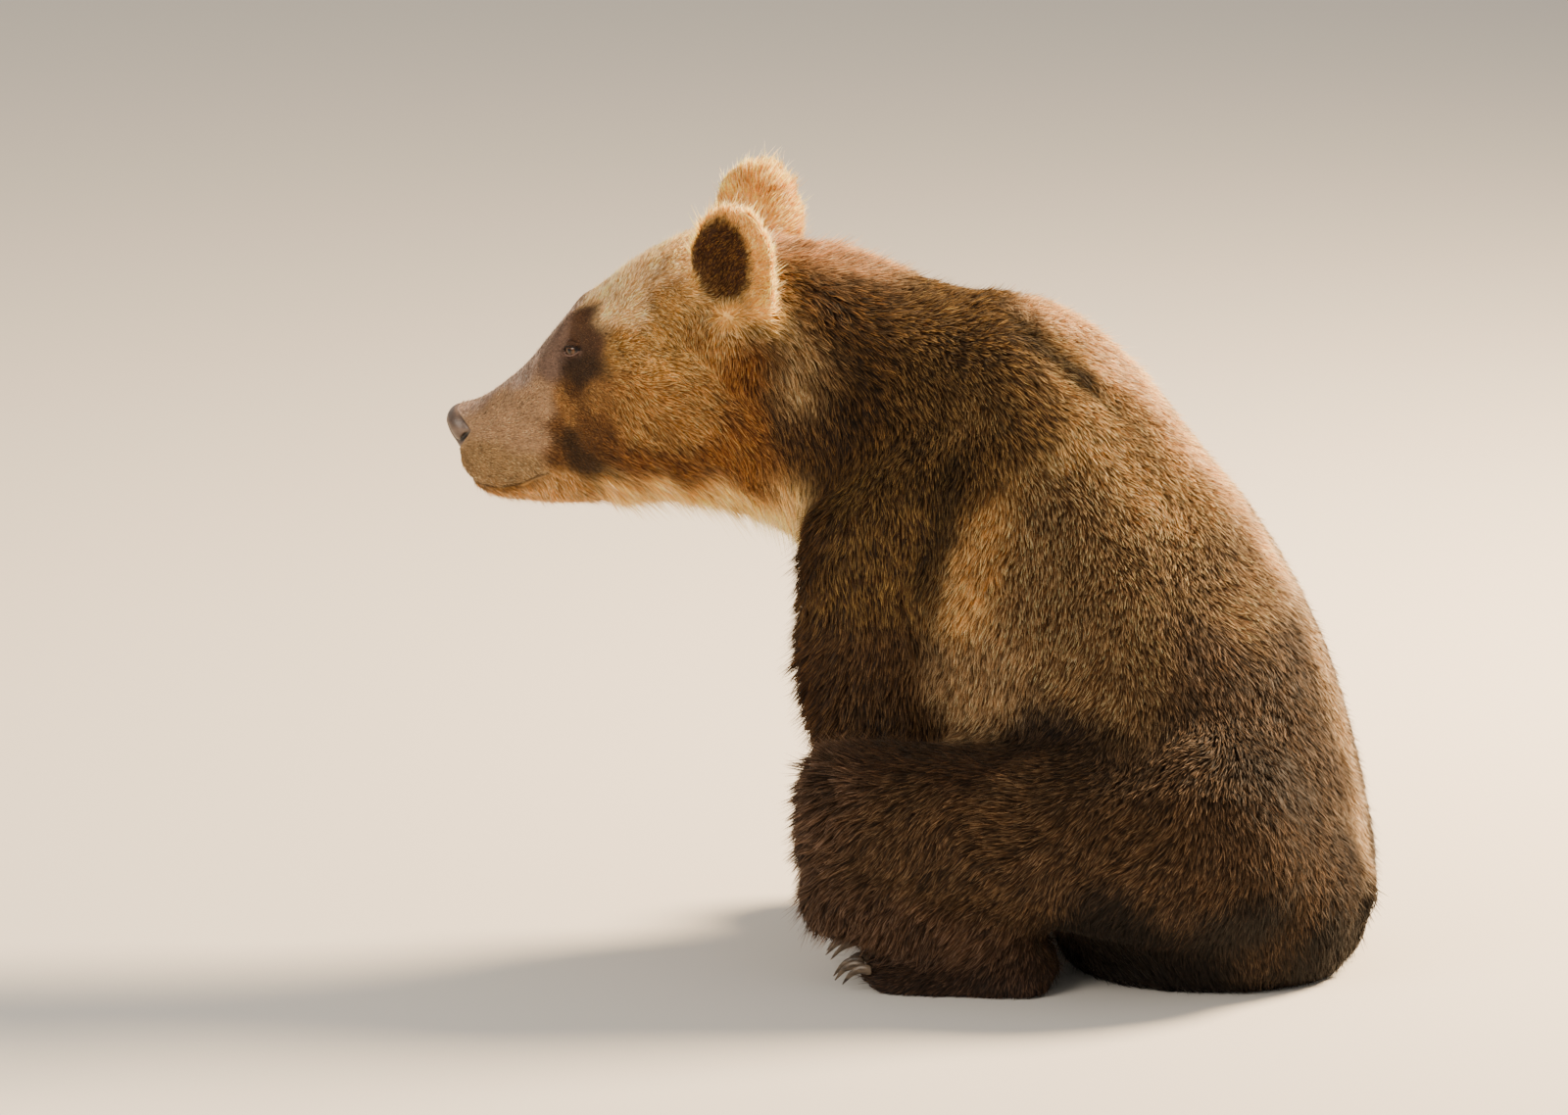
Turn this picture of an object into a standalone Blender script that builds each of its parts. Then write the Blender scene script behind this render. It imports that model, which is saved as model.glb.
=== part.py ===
"""A young grizzly bear sitting upright on a level floor, as one still, life-size model.

Metres, +Z up, the floor at z = 0. The bear faces -Y and its own left side is +X.
The trunk, neck and head are one loft parted by thin cuts. Each leg is lofted on its own
and sunk into the trunk, which is cut back by GAP round it.
"""

import math

import bmesh
import bpy
import numpy as np
from mathutils import Matrix

# ---- driving sizes -------------------------------------------------------------------
GAP = 0.0004  # clearance between neighbouring nodes
SHARP_CLEAR = 0.0009  # the same round thin-edged pieces, whose copies grow less at edges
MIDDLE_SHIFT_Y = 0.0687  # puts the middle of the finished bear over the origin
TRUNK_POINTS = 24  # points round the trunk, neck and head
LEG_POINTS = 12

HEAD_YAW = 7.0  # degrees the head turns to the bear's left
HEAD_ROLL = 5.0  # degrees the crown tips to the bear's left
HEAD_PIVOT = (0.0, -0.12, 0.60)
TURN_STARTS_Y = 0.00
TURN_ENDS_Y = -0.17

EYE_RADIUS = 0.0115
EYE_CENTRE = (0.0446, -0.4305, 0.6495)

EAR_BASE = (0.112, -0.258, 0.704)
EAR_HEIGHT = 0.122
EAR_HALF_WIDTH = 0.058
EAR_DEPTH = 0.036
EAR_WALL = 0.017
EAR_OUT_TURN = 72.0  # degrees the opening turns from straight ahead to the side
EAR_OUT_TILT = 4.0

NOSE_CENTRE = (0.0, -0.5575, 0.5550)
NOSE_HALF = (0.0270, 0.0195, 0.0230)

TAIL_LENGTH = 0.085
TAIL_ROOT = (0.0, 0.395, 0.125)
TAIL_RADIUS = 0.024

FORE_CLAW = 0.046
HIND_CLAW = 0.030
TOES = 5
CLAW_RINGS = 3

# Columns: place of the back (y, z), lean of the ring (0 lies flat, 90 stands up),
# depth from back to belly, half width, share of the depth above the widest level,
# roundness above it and below it (2 is an ellipse, more is squarer).
TRUNK_STATIONS = (
    (0.392, -0.030, -4.0, 0.270, 0.150, 0.50, 2.2, 2.2),
    (0.417, 0.020, 0.0, 0.325, 0.186, 0.50, 2.2, 2.2),
    (0.428, 0.070, 2.0, 0.350, 0.204, 0.50, 2.2, 2.2),
    (0.424, 0.130, 5.0, 0.365, 0.212, 0.50, 2.2, 2.3),
    (0.409, 0.205, 10.0, 0.380, 0.215, 0.50, 2.1, 2.4),
    (0.386, 0.300, 18.0, 0.400, 0.212, 0.50, 2.0, 2.5),
    (0.348, 0.393, 27.0, 0.410, 0.205, 0.50, 2.0, 2.5),
    (0.295, 0.482, 36.0, 0.400, 0.196, 0.51, 1.95, 2.5),
    (0.225, 0.565, 44.0, 0.385, 0.187, 0.53, 1.9, 2.4),
    (0.166, 0.643, 53.0, 0.380, 0.178, 0.54, 1.9, 2.3),
    (0.104, 0.694, 64.0, 0.370, 0.167, 0.55, 1.9, 2.2),
    (0.035, 0.717, 76.0, 0.345, 0.154, 0.54, 1.95, 2.1),
)
NECK_STATIONS = (
    (-0.036, 0.712, 85.0, 0.320, 0.142, 0.52, 2.0, 2.1),
    (-0.100, 0.737, 90.0, 0.324, 0.137, 0.50, 2.0, 2.1),
    (-0.160, 0.757, 91.0, 0.326, 0.134, 0.50, 2.0, 2.1),
)
HEAD_STATIONS = (
    (-0.208, 0.763, 90.0, 0.310, 0.130, 0.50, 2.1, 2.1),
    (-0.250, 0.769, 90.0, 0.303, 0.129, 0.50, 2.1, 2.1),
    (-0.285, 0.773, 90.0, 0.301, 0.127, 0.50, 2.1, 2.1),
    (-0.316, 0.768, 90.0, 0.292, 0.123, 0.50, 2.1, 2.1),
    (-0.345, 0.754, 90.0, 0.276, 0.116, 0.50, 2.1, 2.1),
    (-0.375, 0.737, 90.0, 0.264, 0.106, 0.50, 2.1, 2.1),
    (-0.404, 0.715, 90.0, 0.245, 0.094, 0.50, 2.2, 2.1),
    (-0.432, 0.691, 90.0, 0.219, 0.080, 0.50, 2.2, 2.1),
    (-0.453, 0.668, 90.0, 0.197, 0.069, 0.50, 2.2, 2.1),
    (-0.472, 0.642, 90.0, 0.170, 0.060, 0.50, 2.2, 2.2),
    (-0.490, 0.620, 90.0, 0.147, 0.053, 0.50, 2.3, 2.2),
    (-0.512, 0.601, 90.0, 0.126, 0.048, 0.50, 2.4, 2.3),
    (-0.535, 0.585, 90.0, 0.103, 0.044, 0.50, 2.5, 2.4),
    (-0.550, 0.577, 90.0, 0.089, 0.038, 0.50, 2.5, 2.4),
    (-0.559, 0.568, 90.0, 0.060, 0.029, 0.50, 2.4, 2.4),
    (-0.563, 0.558, 90.0, 0.036, 0.018, 0.50, 2.2, 2.2),
)
RING_STEP = 0.055  # spacing of the rings of the trunk and neck
HEAD_RING_STEP = 0.0225

# Columns: middle (x, y, z), lean, half width, reach forward, reach back.
FORELEG_STATIONS = (
    (0.080, 0.062, 0.637, 14.0, 0.024, 0.034, 0.034),
    (0.092, 0.050, 0.618, 14.0, 0.046, 0.078, 0.072),
    (0.107, 0.018, 0.572, 12.0, 0.066, 0.128, 0.108),
    (0.114, -0.018, 0.515, 10.0, 0.074, 0.150, 0.116),
    (0.111, -0.052, 0.455, 7.0, 0.070, 0.124, 0.096),
    (0.103, -0.078, 0.390, 3.0, 0.064, 0.102, 0.080),
    (0.096, -0.088, 0.330, 0.0, 0.058, 0.092, 0.078),
    (0.088, -0.088, 0.260, -3.0, 0.053, 0.086, 0.078),
    (0.083, -0.077, 0.190, -6.0, 0.047, 0.074, 0.066),
    (0.081, -0.064, 0.125, -6.0, 0.044, 0.058, 0.054),
    (0.081, -0.054, 0.072, -3.0, 0.043, 0.046, 0.048),
    (0.081, -0.046, 0.036, 0.0, 0.040, 0.036, 0.044),
)
ELBOW_RING = 0.45  # share of the foreleg's rings that belong to the upper arm

# Columns: middle (x, y, z), half width, reach up, reach down.
THIGH_STATIONS = (
    (0.122, 0.386, 0.148, 0.020, 0.026, 0.026),
    (0.126, 0.380, 0.149, 0.048, 0.060, 0.058),
    (0.132, 0.362, 0.152, 0.075, 0.104, 0.090),
    (0.142, 0.330, 0.155, 0.095, 0.134, 0.108),
    (0.156, 0.280, 0.157, 0.106, 0.142, 0.113),
    (0.172, 0.190, 0.159, 0.105, 0.120, 0.105),
    (0.184, 0.095, 0.164, 0.097, 0.099, 0.094),
    (0.193, 0.005, 0.172, 0.088, 0.091, 0.088),
    (0.198, -0.060, 0.179, 0.080, 0.084, 0.084),
    (0.200, -0.105, 0.181, 0.072, 0.080, 0.080),
    (0.200, -0.130, 0.179, 0.060, 0.074, 0.075),
    (0.200, -0.144, 0.177, 0.042, 0.057, 0.059),
    (0.200, -0.150, 0.175, 0.020, 0.030, 0.031),
)
SHIN_STATIONS = (
    (0.198, -0.140, 0.118, 0.026, 0.026, 0.026),
    (0.198, -0.124, 0.112, 0.058, 0.054, 0.054),
    (0.198, -0.078, 0.100, 0.064, 0.062, 0.060),
    (0.197, -0.020, 0.088, 0.060, 0.058, 0.056),
    (0.196, 0.030, 0.070, 0.052, 0.046, 0.046),
    (0.195, 0.075, 0.058, 0.046, 0.040, 0.040),
    (0.195, 0.105, 0.052, 0.024, 0.022, 0.022),
)
SHIN_LEAN = 20.0

FOREPAW = {"x": 0.081, "heel": 0.000, "toe": -0.114, "half_width": 0.051}
FOREPAW |= {"back_height": 0.064, "front_height": 0.036, "turn": -3.0}
HINDPAW = {"x": 0.195, "heel": 0.128, "toe": -0.088, "half_width": 0.052}
HINDPAW |= {"back_height": 0.074, "front_height": 0.036, "turn": 6.0}
TOE_GROOVE = 0.017

# Columns: centre, radius, height along the direction.
TRUNK_FORMS = (
    ((0.000, -0.085, 0.400), (0.080, 0.080, 0.085), (0, -0.042, -0.006)),  # brisket
    ((0.100, 0.070, 0.640), (0.055, 0.075, 0.070), (0.008, 0.004, 0.009)),  # left blade
    ((-0.100, 0.070, 0.640), (0.055, 0.075, 0.070), (-0.008, 0.004, 0.009)),
    ((0.052, 0.110, 0.665), (0.020, 0.060, 0.060), (-0.004, -0.010, -0.012)),  # furrow
    ((-0.052, 0.110, 0.665), (0.020, 0.060, 0.060), (0.004, -0.010, -0.012)),
    ((0.190, 0.150, 0.330), (0.060, 0.090, 0.110), (0.012, 0.0, 0.0)),  # flank
    ((-0.190, 0.150, 0.330), (0.060, 0.090, 0.110), (-0.012, 0.0, 0.0)),
    ((0.000, 0.440, 0.030), (0.030, 0.060, 0.060), (0, -0.016, 0)),  # cleft of the seat
)
HEAD_FORMS = (
    ((0.068, -0.433, 0.654), (0.016, 0.024, 0.018), (-0.010, 0.004, 0)),  # eye sockets
    ((-0.068, -0.433, 0.654), (0.016, 0.024, 0.018), (0.010, 0.004, 0)),
    ((0.050, -0.426, 0.680), (0.018, 0.022, 0.014), (0.004, -0.005, 0.004)),  # brows
    ((-0.050, -0.426, 0.680), (0.018, 0.022, 0.014), (-0.004, -0.005, 0.004)),
    ((0.000, -0.420, 0.705), (0.012, 0.035, 0.030), (0, 0.002, -0.004)),  # brow furrow
    ((0.105, -0.350, 0.590), (0.040, 0.045, 0.050), (0.010, 0, 0)),  # cheeks
    ((-0.105, -0.350, 0.590), (0.040, 0.045, 0.050), (-0.010, 0, 0)),
    ((0.062, -0.462, 0.585), (0.016, 0.028, 0.026), (-0.005, 0, 0)),  # under the cheek
    ((-0.062, -0.462, 0.585), (0.016, 0.028, 0.026), (0.005, 0, 0)),
    ((0.038, -0.538, 0.515), (0.018, 0.026, 0.018), (0.004, -0.002, 0)),  # whisker pads
    ((-0.038, -0.538, 0.515), (0.018, 0.026, 0.018), (-0.004, -0.002, 0)),
)
# The line of the lips and the back of the jaw, as y, z pairs.
LIP_LINE = (
    (-0.600, 0.5140),
    (-0.560, 0.5120),
    (-0.551, 0.5000),
    (-0.539, 0.4945),
    (-0.520, 0.4920),
    (-0.497, 0.4975),
    (-0.477, 0.5090),
    (-0.456, 0.5160),
)
JAW_BACK = ((-0.430, 0.508), (-0.400, 0.480), (-0.380, 0.430), (-0.600, 0.430))


# ---- helpers -------------------------------------------------------------------------
def clear_scene():
    for item in list(bpy.data.objects):
        bpy.data.objects.remove(item, do_unlink=True)


def material(name, colour, roughness):
    made = bpy.data.materials.new(name)
    made.use_nodes = True
    shader = made.node_tree.nodes["Principled BSDF"]
    shader.inputs["Base Color"].default_value = (*colour, 1.0)
    shader.inputs["Roughness"].default_value = roughness
    shader.inputs["Metallic"].default_value = 0.0
    return made


def new_object(name, points, faces, coat):
    mesh = bpy.data.meshes.new(name)
    mesh.from_pydata([tuple(map(float, p)) for p in points], [], faces)
    work = bmesh.new()
    work.from_mesh(mesh)
    bmesh.ops.recalc_face_normals(work, faces=work.faces)
    bmesh.ops.triangulate(work, faces=work.faces)
    work.to_mesh(mesh)
    work.free()
    made = bpy.data.objects.new(name, mesh)
    bpy.context.scene.collection.objects.link(made)
    if coat:
        mesh.materials.append(coat)
    return made


def smooth_rows(rows, step):
    """Rows resampled about every `step` along the path of their first two columns."""
    table = np.array(rows, float)
    gone = np.linalg.norm(np.diff(table[:, :2], axis=0), axis=1)
    at = np.concatenate([[0.0], np.cumsum(gone)])
    slope = np.gradient(table, at, axis=0)
    count = max(3, round(at[-1] / step) + 1)
    wanted = np.linspace(0.0, at[-1], count)
    cell = np.clip(np.searchsorted(at, wanted) - 1, 0, len(at) - 2)
    span = (at[cell + 1] - at[cell])[:, None]
    t = ((wanted - at[cell])[:, None]) / span
    a, b = table[cell], table[cell + 1]
    m, n = slope[cell] * span, slope[cell + 1] * span
    held = (2 * t**3 - 3 * t**2 + 1) * a + (t**3 - 2 * t**2 + t) * m
    return held + (3 * t**2 - 2 * t**3) * b + (t**3 - t**2) * n


def signed_power(value, power):
    return np.sign(value) * np.abs(value) ** (2.0 / power)


def ring_of(count, half_width, up, down, round_up, round_down):
    """Offsets across and up for one closed ring."""
    angle = np.arange(count) * 2 * math.pi / count + math.pi / 2
    power = np.where(np.sin(angle) >= 0, round_up, round_down)
    across = half_width * signed_power(np.cos(angle), power)
    height = np.where(np.sin(angle) >= 0, up, down) * signed_power(np.sin(angle), power)
    return across, height


def body_rings(rows):
    rings = []
    for y, z, lean, depth, half, share, above, below in rows:
        lean = math.radians(lean)
        back = np.array([0.0, math.cos(lean), math.sin(lean)])
        middle = np.array([0.0, y, z]) - back * depth * share
        across, height = ring_of(
            TRUNK_POINTS, half, depth * share, depth * (1 - share), above, below
        )
        side = np.array([1.0, 0.0, 0.0])
        rings.append(middle + across[:, None] * side + height[:, None] * back)
    return np.array(rings)


def loft_faces(ring_count, n):
    """Quads between the rings and a fan at each end, for points listed ring by ring."""
    faces = []
    for i in range(ring_count - 1):
        for j in range(n):
            k = (j + 1) % n
            faces.append((i * n + j, i * n + k, (i + 1) * n + k, (i + 1) * n + j))
    start, end = ring_count * n, ring_count * n + 1
    last = (ring_count - 1) * n
    for j in range(n):
        k = (j + 1) % n
        faces.append((start, k, j))
        faces.append((end, last + j, last + k))
    return faces


def loft(name, rings, coat, bulge=(0.0, 0.0)):
    """A closed body through the rings; bulge moves the two end points outwards."""
    rings = np.array(rings)
    first, last = rings[0].mean(axis=0), rings[-1].mean(axis=0)
    out_first = first - rings[1].mean(axis=0)
    out_last = last - rings[-2].mean(axis=0)
    first = first + bulge[0] * out_first / max(np.linalg.norm(out_first), 1e-9)
    last = last + bulge[1] * out_last / max(np.linalg.norm(out_last), 1e-9)
    points = np.concatenate([rings.reshape(-1, 3), [first, last]])
    return new_object(name, points, loft_faces(*rings.shape[:2]), coat)


def formed(points, forms):
    """Points pushed by soft round forms."""
    moved = points.copy()
    for centre, radius, push in forms:
        away = (points - np.array(centre)) / np.array(radius)
        weight = np.exp(-0.5 * (away**2).sum(axis=-1))
        moved += weight[..., None] * np.array(push, float)
    return moved


def with_head_turn(points):
    """Points turned with the head: all of it in front of the neck, less further back."""
    share = (TURN_STARTS_Y - points[..., 1]) / (TURN_STARTS_Y - TURN_ENDS_Y)
    share = np.clip(share, 0.0, 1.0)
    share = share * share * (3 - 2 * share)
    yaw = math.radians(HEAD_YAW) * share
    roll = math.radians(HEAD_ROLL) * share
    x, y, z = np.moveaxis(points - np.array(HEAD_PIVOT), -1, 0)
    x, z = x * np.cos(roll) + z * np.sin(roll), z * np.cos(roll) - x * np.sin(roll)
    x, y = x * np.cos(yaw) - y * np.sin(yaw), y * np.cos(yaw) + x * np.sin(yaw)
    return np.stack([x, y, z], axis=-1) + np.array(HEAD_PIVOT)


def on_floor(points):
    """Points below the floor are laid on it, which makes a small flat."""
    points = points.copy()
    points[..., 2] = np.maximum(points[..., 2], 0.0)
    return points


def mirrored(points):
    return points * np.array([-1.0, 1.0, 1.0])


def reshape_mesh(made, function):
    """Runs every vertex of an object's mesh through a function of an array."""
    mesh = made.data
    points = np.array([v.co for v in mesh.vertices])
    for vertex, place in zip(mesh.vertices, function(points)):
        vertex.co = place
    work = bmesh.new()
    work.from_mesh(mesh)
    bmesh.ops.recalc_face_normals(work, faces=work.faces)
    work.to_mesh(mesh)
    work.free()


def offset_copy(source, distance, name):
    """A hidden copy of a body, grown by distance, to cut its neighbours with."""
    mesh = source.data.copy()
    mesh.name = name
    normals = np.array([v.normal for v in source.data.vertices])
    for vertex, normal in zip(mesh.vertices, normals):
        vertex.co = np.array(vertex.co) + normal * distance
    made = bpy.data.objects.new(name, mesh)
    bpy.context.scene.collection.objects.link(made)
    made.hide_render = True
    made.display_type = "WIRE"
    return made


def boolean(target, cutter, operation):
    change = target.modifiers.new(f"{operation.lower()}_{cutter.name}", "BOOLEAN")
    change.operation = operation
    change.object = cutter
    change.solver = "EXACT"


def smaller_islands(work):
    """The vertices of every loose body of a mesh but its largest."""
    left = set(work.verts)
    islands = []
    while left:
        wave = {left.pop()}
        island = set(wave)
        while wave:
            wave = {e.other_vert(v) for v in wave for e in v.link_edges} - island
            island |= wave
        left -= island
        islands.append(island)
    islands.sort(key=len)
    return [v for island in islands[:-1] for v in island]


def settle(made):
    """Keeps the outcome of an object's modifiers as its own mesh, facing outwards."""
    graph = bpy.context.evaluated_depsgraph_get()
    mesh = bpy.data.meshes.new_from_object(made.evaluated_get(graph))
    made.modifiers.clear()
    made.data = mesh
    work = bmesh.new()
    work.from_mesh(mesh)
    bmesh.ops.remove_doubles(work, verts=work.verts, dist=0.00002)
    bmesh.ops.dissolve_degenerate(work, edges=work.edges, dist=0.00002)
    bmesh.ops.delete(work, geom=smaller_islands(work), context="VERTS")
    if work.calc_volume(signed=True) < 0:
        bmesh.ops.reverse_faces(work, faces=work.faces)
    work.to_mesh(mesh)
    work.free()


def cut_round(target, *neighbours, clear=GAP * 1.3):
    """Cuts the target back from bodies that keep their whole shape."""
    for neighbour in neighbours:
        cutter = offset_copy(neighbour, clear, f"cut_{target.name}_{neighbour.name}")
        boolean(target, cutter, "DIFFERENCE")


# ---- trunk, neck and head ------------------------------------------------------------
def central_nodes(coats):
    trunk_rows = smooth_rows(TRUNK_STATIONS, RING_STEP)
    neck_rows = smooth_rows((TRUNK_STATIONS[-1], *NECK_STATIONS, HEAD_STATIONS[0]), RING_STEP)
    head_rows = smooth_rows(HEAD_STATIONS, HEAD_RING_STEP)
    forms = TRUNK_FORMS + HEAD_FORMS
    trunk_rings = on_floor(formed(body_rings(trunk_rows), forms))
    neck_rings = formed(body_rings(neck_rows), forms)
    head_rings = formed(body_rings(head_rows), forms)

    def shifted(rings, from_ring, to_ring):
        """The first ring moved a gap's width towards the next."""
        way = rings[to_ring].mean(axis=0) - rings[from_ring].mean(axis=0)
        rings = rings.copy()
        rings[from_ring] += GAP * way / np.linalg.norm(way)
        return rings

    neck_rings = shifted(neck_rings, 0, 1)
    head_rings = shifted(head_rings, 0, 1)
    trunk = loft("trunk", with_head_turn(trunk_rings), coats["flank"])
    neck = loft("neck", with_head_turn(neck_rings), coats["neck"])
    head = loft("head", head_rings, coats["head"], (0.0, 0.001))
    return trunk, neck, head


def jaw_prism(name, shrink):
    """The space of the lower jaw as a block across the head, smaller by shrink."""
    profile = [(y, z - shrink) for y, z in LIP_LINE]
    profile += [(y - shrink, z) for y, z in JAW_BACK]
    n = len(profile)
    points = [(-0.16, y, z) for y, z in profile] + [(0.16, y, z) for y, z in profile]
    faces = [tuple(range(n)), tuple(range(2 * n - 1, n - 1, -1))]
    faces += [(i, i + n, (i + 1) % n + n, (i + 1) % n) for i in range(n)]
    made = new_object(name, points, faces, None)
    made.hide_render = True
    made.display_type = "WIRE"
    return made


def ellipsoid(name, centre, half, around, along, coat, axis="Z"):
    """A closed ellipsoid with its poles on the given axis."""
    points = []
    for i in range(1, along):
        polar = math.pi * i / along
        for j in range(around):
            turn = 2 * math.pi * j / around
            flat = math.sin(polar)
            shape = [flat * math.cos(turn), flat * math.sin(turn), math.cos(polar)]
            points.append(shape if axis == "Z" else [shape[0], shape[2], shape[1]])
    poles = [[0, 0, 1], [0, 0, -1]] if axis == "Z" else [[0, 1, 0], [0, -1, 0]]
    points = np.array(points + poles) * np.array(half) + np.array(centre)
    return new_object(name, points, loft_faces(along - 1, around), coat)


def make_nose(coat):
    """The bare pad, with a hollow at each nostril and a groove below."""
    nose = ellipsoid("nose", NOSE_CENTRE, NOSE_HALF, 14, 8, coat, "Y")
    x, y, z = NOSE_CENTRE
    forms = (
        ((x + 0.013, y - 0.016, z - 0.003), (0.0055, 0.008, 0.0050), (-0.002, 0.008, 0)),
        ((x - 0.013, y - 0.016, z - 0.003), (0.0055, 0.008, 0.0050), (0.002, 0.008, 0)),
        ((x, y - 0.018, z - 0.012), (0.0030, 0.008, 0.0090), (0, 0.003, 0)),
        ((x, y - 0.010, z + 0.016), (0.0200, 0.012, 0.0080), (0, -0.003, 0)),
    )
    reshape_mesh(nose, lambda points: formed(points, forms))
    return nose


def ear_rings(side):
    """Crescent rings from the base to the tip of one ear, in the row frame."""
    rings = []
    half_ring = 7
    for share in (0.0, 0.18, 0.38, 0.58, 0.76, 0.90, 0.98):
        width = EAR_HALF_WIDTH * (1 - max(0.0, (share - 0.30) / 0.72) ** 2.4) ** 0.5
        width *= 0.86 + 0.14 * math.sin(math.pi * min(1.0, share / 0.6) / 2)
        depth = EAR_DEPTH * (1 - 0.55 * share)
        wall = EAR_WALL * (1 - 0.35 * share)
        cup = depth - wall
        if share == 0.0:
            cup = -0.004
        ring = []
        for i in range(half_ring + 1):
            turn = math.pi * i / half_ring
            ring.append((width * math.cos(turn), depth * math.sin(turn)))
        for i in range(1, half_ring):
            turn = math.pi * (1 - i / half_ring)
            ring.append((0.94 * width * math.cos(turn), cup * math.sin(turn)))
        height = EAR_HEIGHT * share
        lean_back = 0.010 * share * share
        rings.append([(across, back + lean_back, height) for across, back in ring])
    rings = np.array(rings)
    turn = math.radians(EAR_OUT_TURN)
    tilt = math.radians(EAR_OUT_TILT)
    x, y, z = np.moveaxis(rings, -1, 0)
    x, y = x * math.cos(turn) - y * math.sin(turn), x * math.sin(turn) + y * math.cos(turn)
    x, z = x * math.cos(tilt) + z * math.sin(tilt), z * math.cos(tilt) - x * math.sin(tilt)
    placed = np.stack([x, y, z], axis=-1) + np.array(EAR_BASE)
    return placed if side > 0 else mirrored(placed)


def make_tail(coat):
    rows = []
    for share in np.linspace(0.0, 1.0, 6):
        radius = TAIL_RADIUS * (1 - share**3) ** 0.5 + 0.002
        rows.append((share, radius))
    rings = []
    x, y, z = TAIL_ROOT
    for share, radius in rows:
        middle = np.array([x, y + 0.020 * math.sin(math.pi * share * 0.8), z - TAIL_LENGTH * share])
        turn = np.arange(10) * 2 * math.pi / 10
        ring = np.stack([0.9 * np.cos(turn), np.sin(turn), 0 * turn], axis=-1) * radius
        rings.append(middle + ring)
    return loft("tail", rings, coat)


# ---- legs ----------------------------------------------------------------------------
def leg_rings(rows, forward_ring):
    """Rings of a leg: forward_ring gives (across, along) axes for each row."""
    rings = []
    for row in rows:
        middle, half, front, back, first, second = forward_ring(row)
        turn = np.arange(LEG_POINTS) * 2 * math.pi / LEG_POINTS
        across = half * signed_power(np.cos(turn), 2.2)
        along = np.where(np.sin(turn) >= 0, front, back) * signed_power(np.sin(turn), 2.2)
        rings.append(middle + across[:, None] * first + along[:, None] * second)
    return np.array(rings)


def foreleg_row(row):
    x, y, z, lean, half, front, back = row
    lean = math.radians(lean)
    forward = np.array([0.0, -math.cos(lean), -math.sin(lean)])
    return np.array([x, y, z]), half, front, back, np.array([1.0, 0, 0]), forward


def thigh_row(row):
    x, y, z, half, up, down = row
    return np.array([x, y, z]), half, up, down, np.array([1.0, 0, 0]), np.array([0, 0, 1.0])


def shin_row(row):
    lean = math.radians(SHIN_LEAN)
    up = np.array([0.0, math.sin(lean), math.cos(lean)])
    x, y, z, half, front, back = row
    return np.array([x, y, z]), half, front, back, np.array([1.0, 0, 0]), up


def paw_sections(size):
    """Upright sections across a paw, from its outer edge to its inner edge."""
    sections = []
    top_points = 7
    lanes = TOES * 2 + 1
    for lane in range(lanes):
        across = -1 + 2 * lane / (lanes - 1)
        rim = (1 - abs(across) ** 3.2 * 0.96) ** 0.5
        groove = TOE_GROOVE if lane % 2 == 0 else 0.0
        arch = 0.020 * across * across
        tip = size["toe"] + groove + arch
        heel = size["heel"] - (1 - rim) * 0.035
        section = []
        for i in range(top_points):
            share = (1 - math.cos(math.pi * i / (top_points - 1))) / 2
            height = size["back_height"] + (size["front_height"] - size["back_height"]) * (
                share * share * (3 - 2 * share)
            )
            height *= (1 - 0.22 * (groove > 0) * share**2) * (0.35 + 0.65 * rim)
            full = (1 - abs(2 * share - 1) ** 4.5) ** (1 / 2.6)
            y = heel + (tip - heel) * share
            section.append((across * size["half_width"], y, height * full))
        for share in (0.92, 0.50, 0.08):
            y = heel + (tip - heel) * share
            section.append((across * size["half_width"], y, 0.0))
        first, last = section[0], section[top_points - 1]
        section[0] = (first[0], first[1], 0.35 * size["back_height"] * rim)
        section[top_points - 1] = (last[0], last[1], 0.40 * size["front_height"] * rim)
        sections.append(section)
    return np.array(sections)


def placed_paw(points, size, side):
    turn = math.radians(size["turn"])
    x, y, z = np.moveaxis(points, -1, 0)
    x, y = x * math.cos(turn) - y * math.sin(turn), x * math.sin(turn) + y * math.cos(turn)
    placed = np.stack([x + size["x"], y, z], axis=-1)
    return placed if side > 0 else mirrored(placed)


def make_claws(prefix, size, length, side, coat):
    """Five curved claws, each starting inside its toe."""
    claws = []
    rings_along = CLAW_RINGS
    for toe in range(TOES):
        across = -1 + 2 * (2 * toe + 1) / (2 * TOES)
        root_y = size["toe"] + 0.020 * across * across + 0.010
        root_z = size["front_height"] * 0.66
        middle_toe = 1 - 0.12 * abs(across)
        long = length * middle_toe + 0.010
        rings = []
        for i in range(rings_along + 1):
            share = i / rings_along
            bend = share * 0.95
            y = root_y - long * math.sin(bend) / 0.95
            z = root_z + 0.004 * math.sin(math.pi * share) - long * (1 - math.cos(bend)) / 0.95
            radius = 0.0052 * (1 - share) ** 0.7 + 0.0006
            ring = []
            for j in range(5):
                angle = 2 * math.pi * j / 5 + math.pi / 2
                up = radius * 1.35 * math.sin(angle)
                ring.append(
                    (
                        across * size["half_width"] * 0.97 + radius * 0.8 * math.cos(angle),
                        y - up * math.sin(bend),
                        max(0.0016, z + up * math.cos(bend)),
                    )
                )
            rings.append(ring)
        name = f"{prefix}_claw_{toe + 1}"
        placed = placed_paw(np.array(rings), size, side)
        claws.append(loft(name, placed, coat))
    return claws


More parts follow.
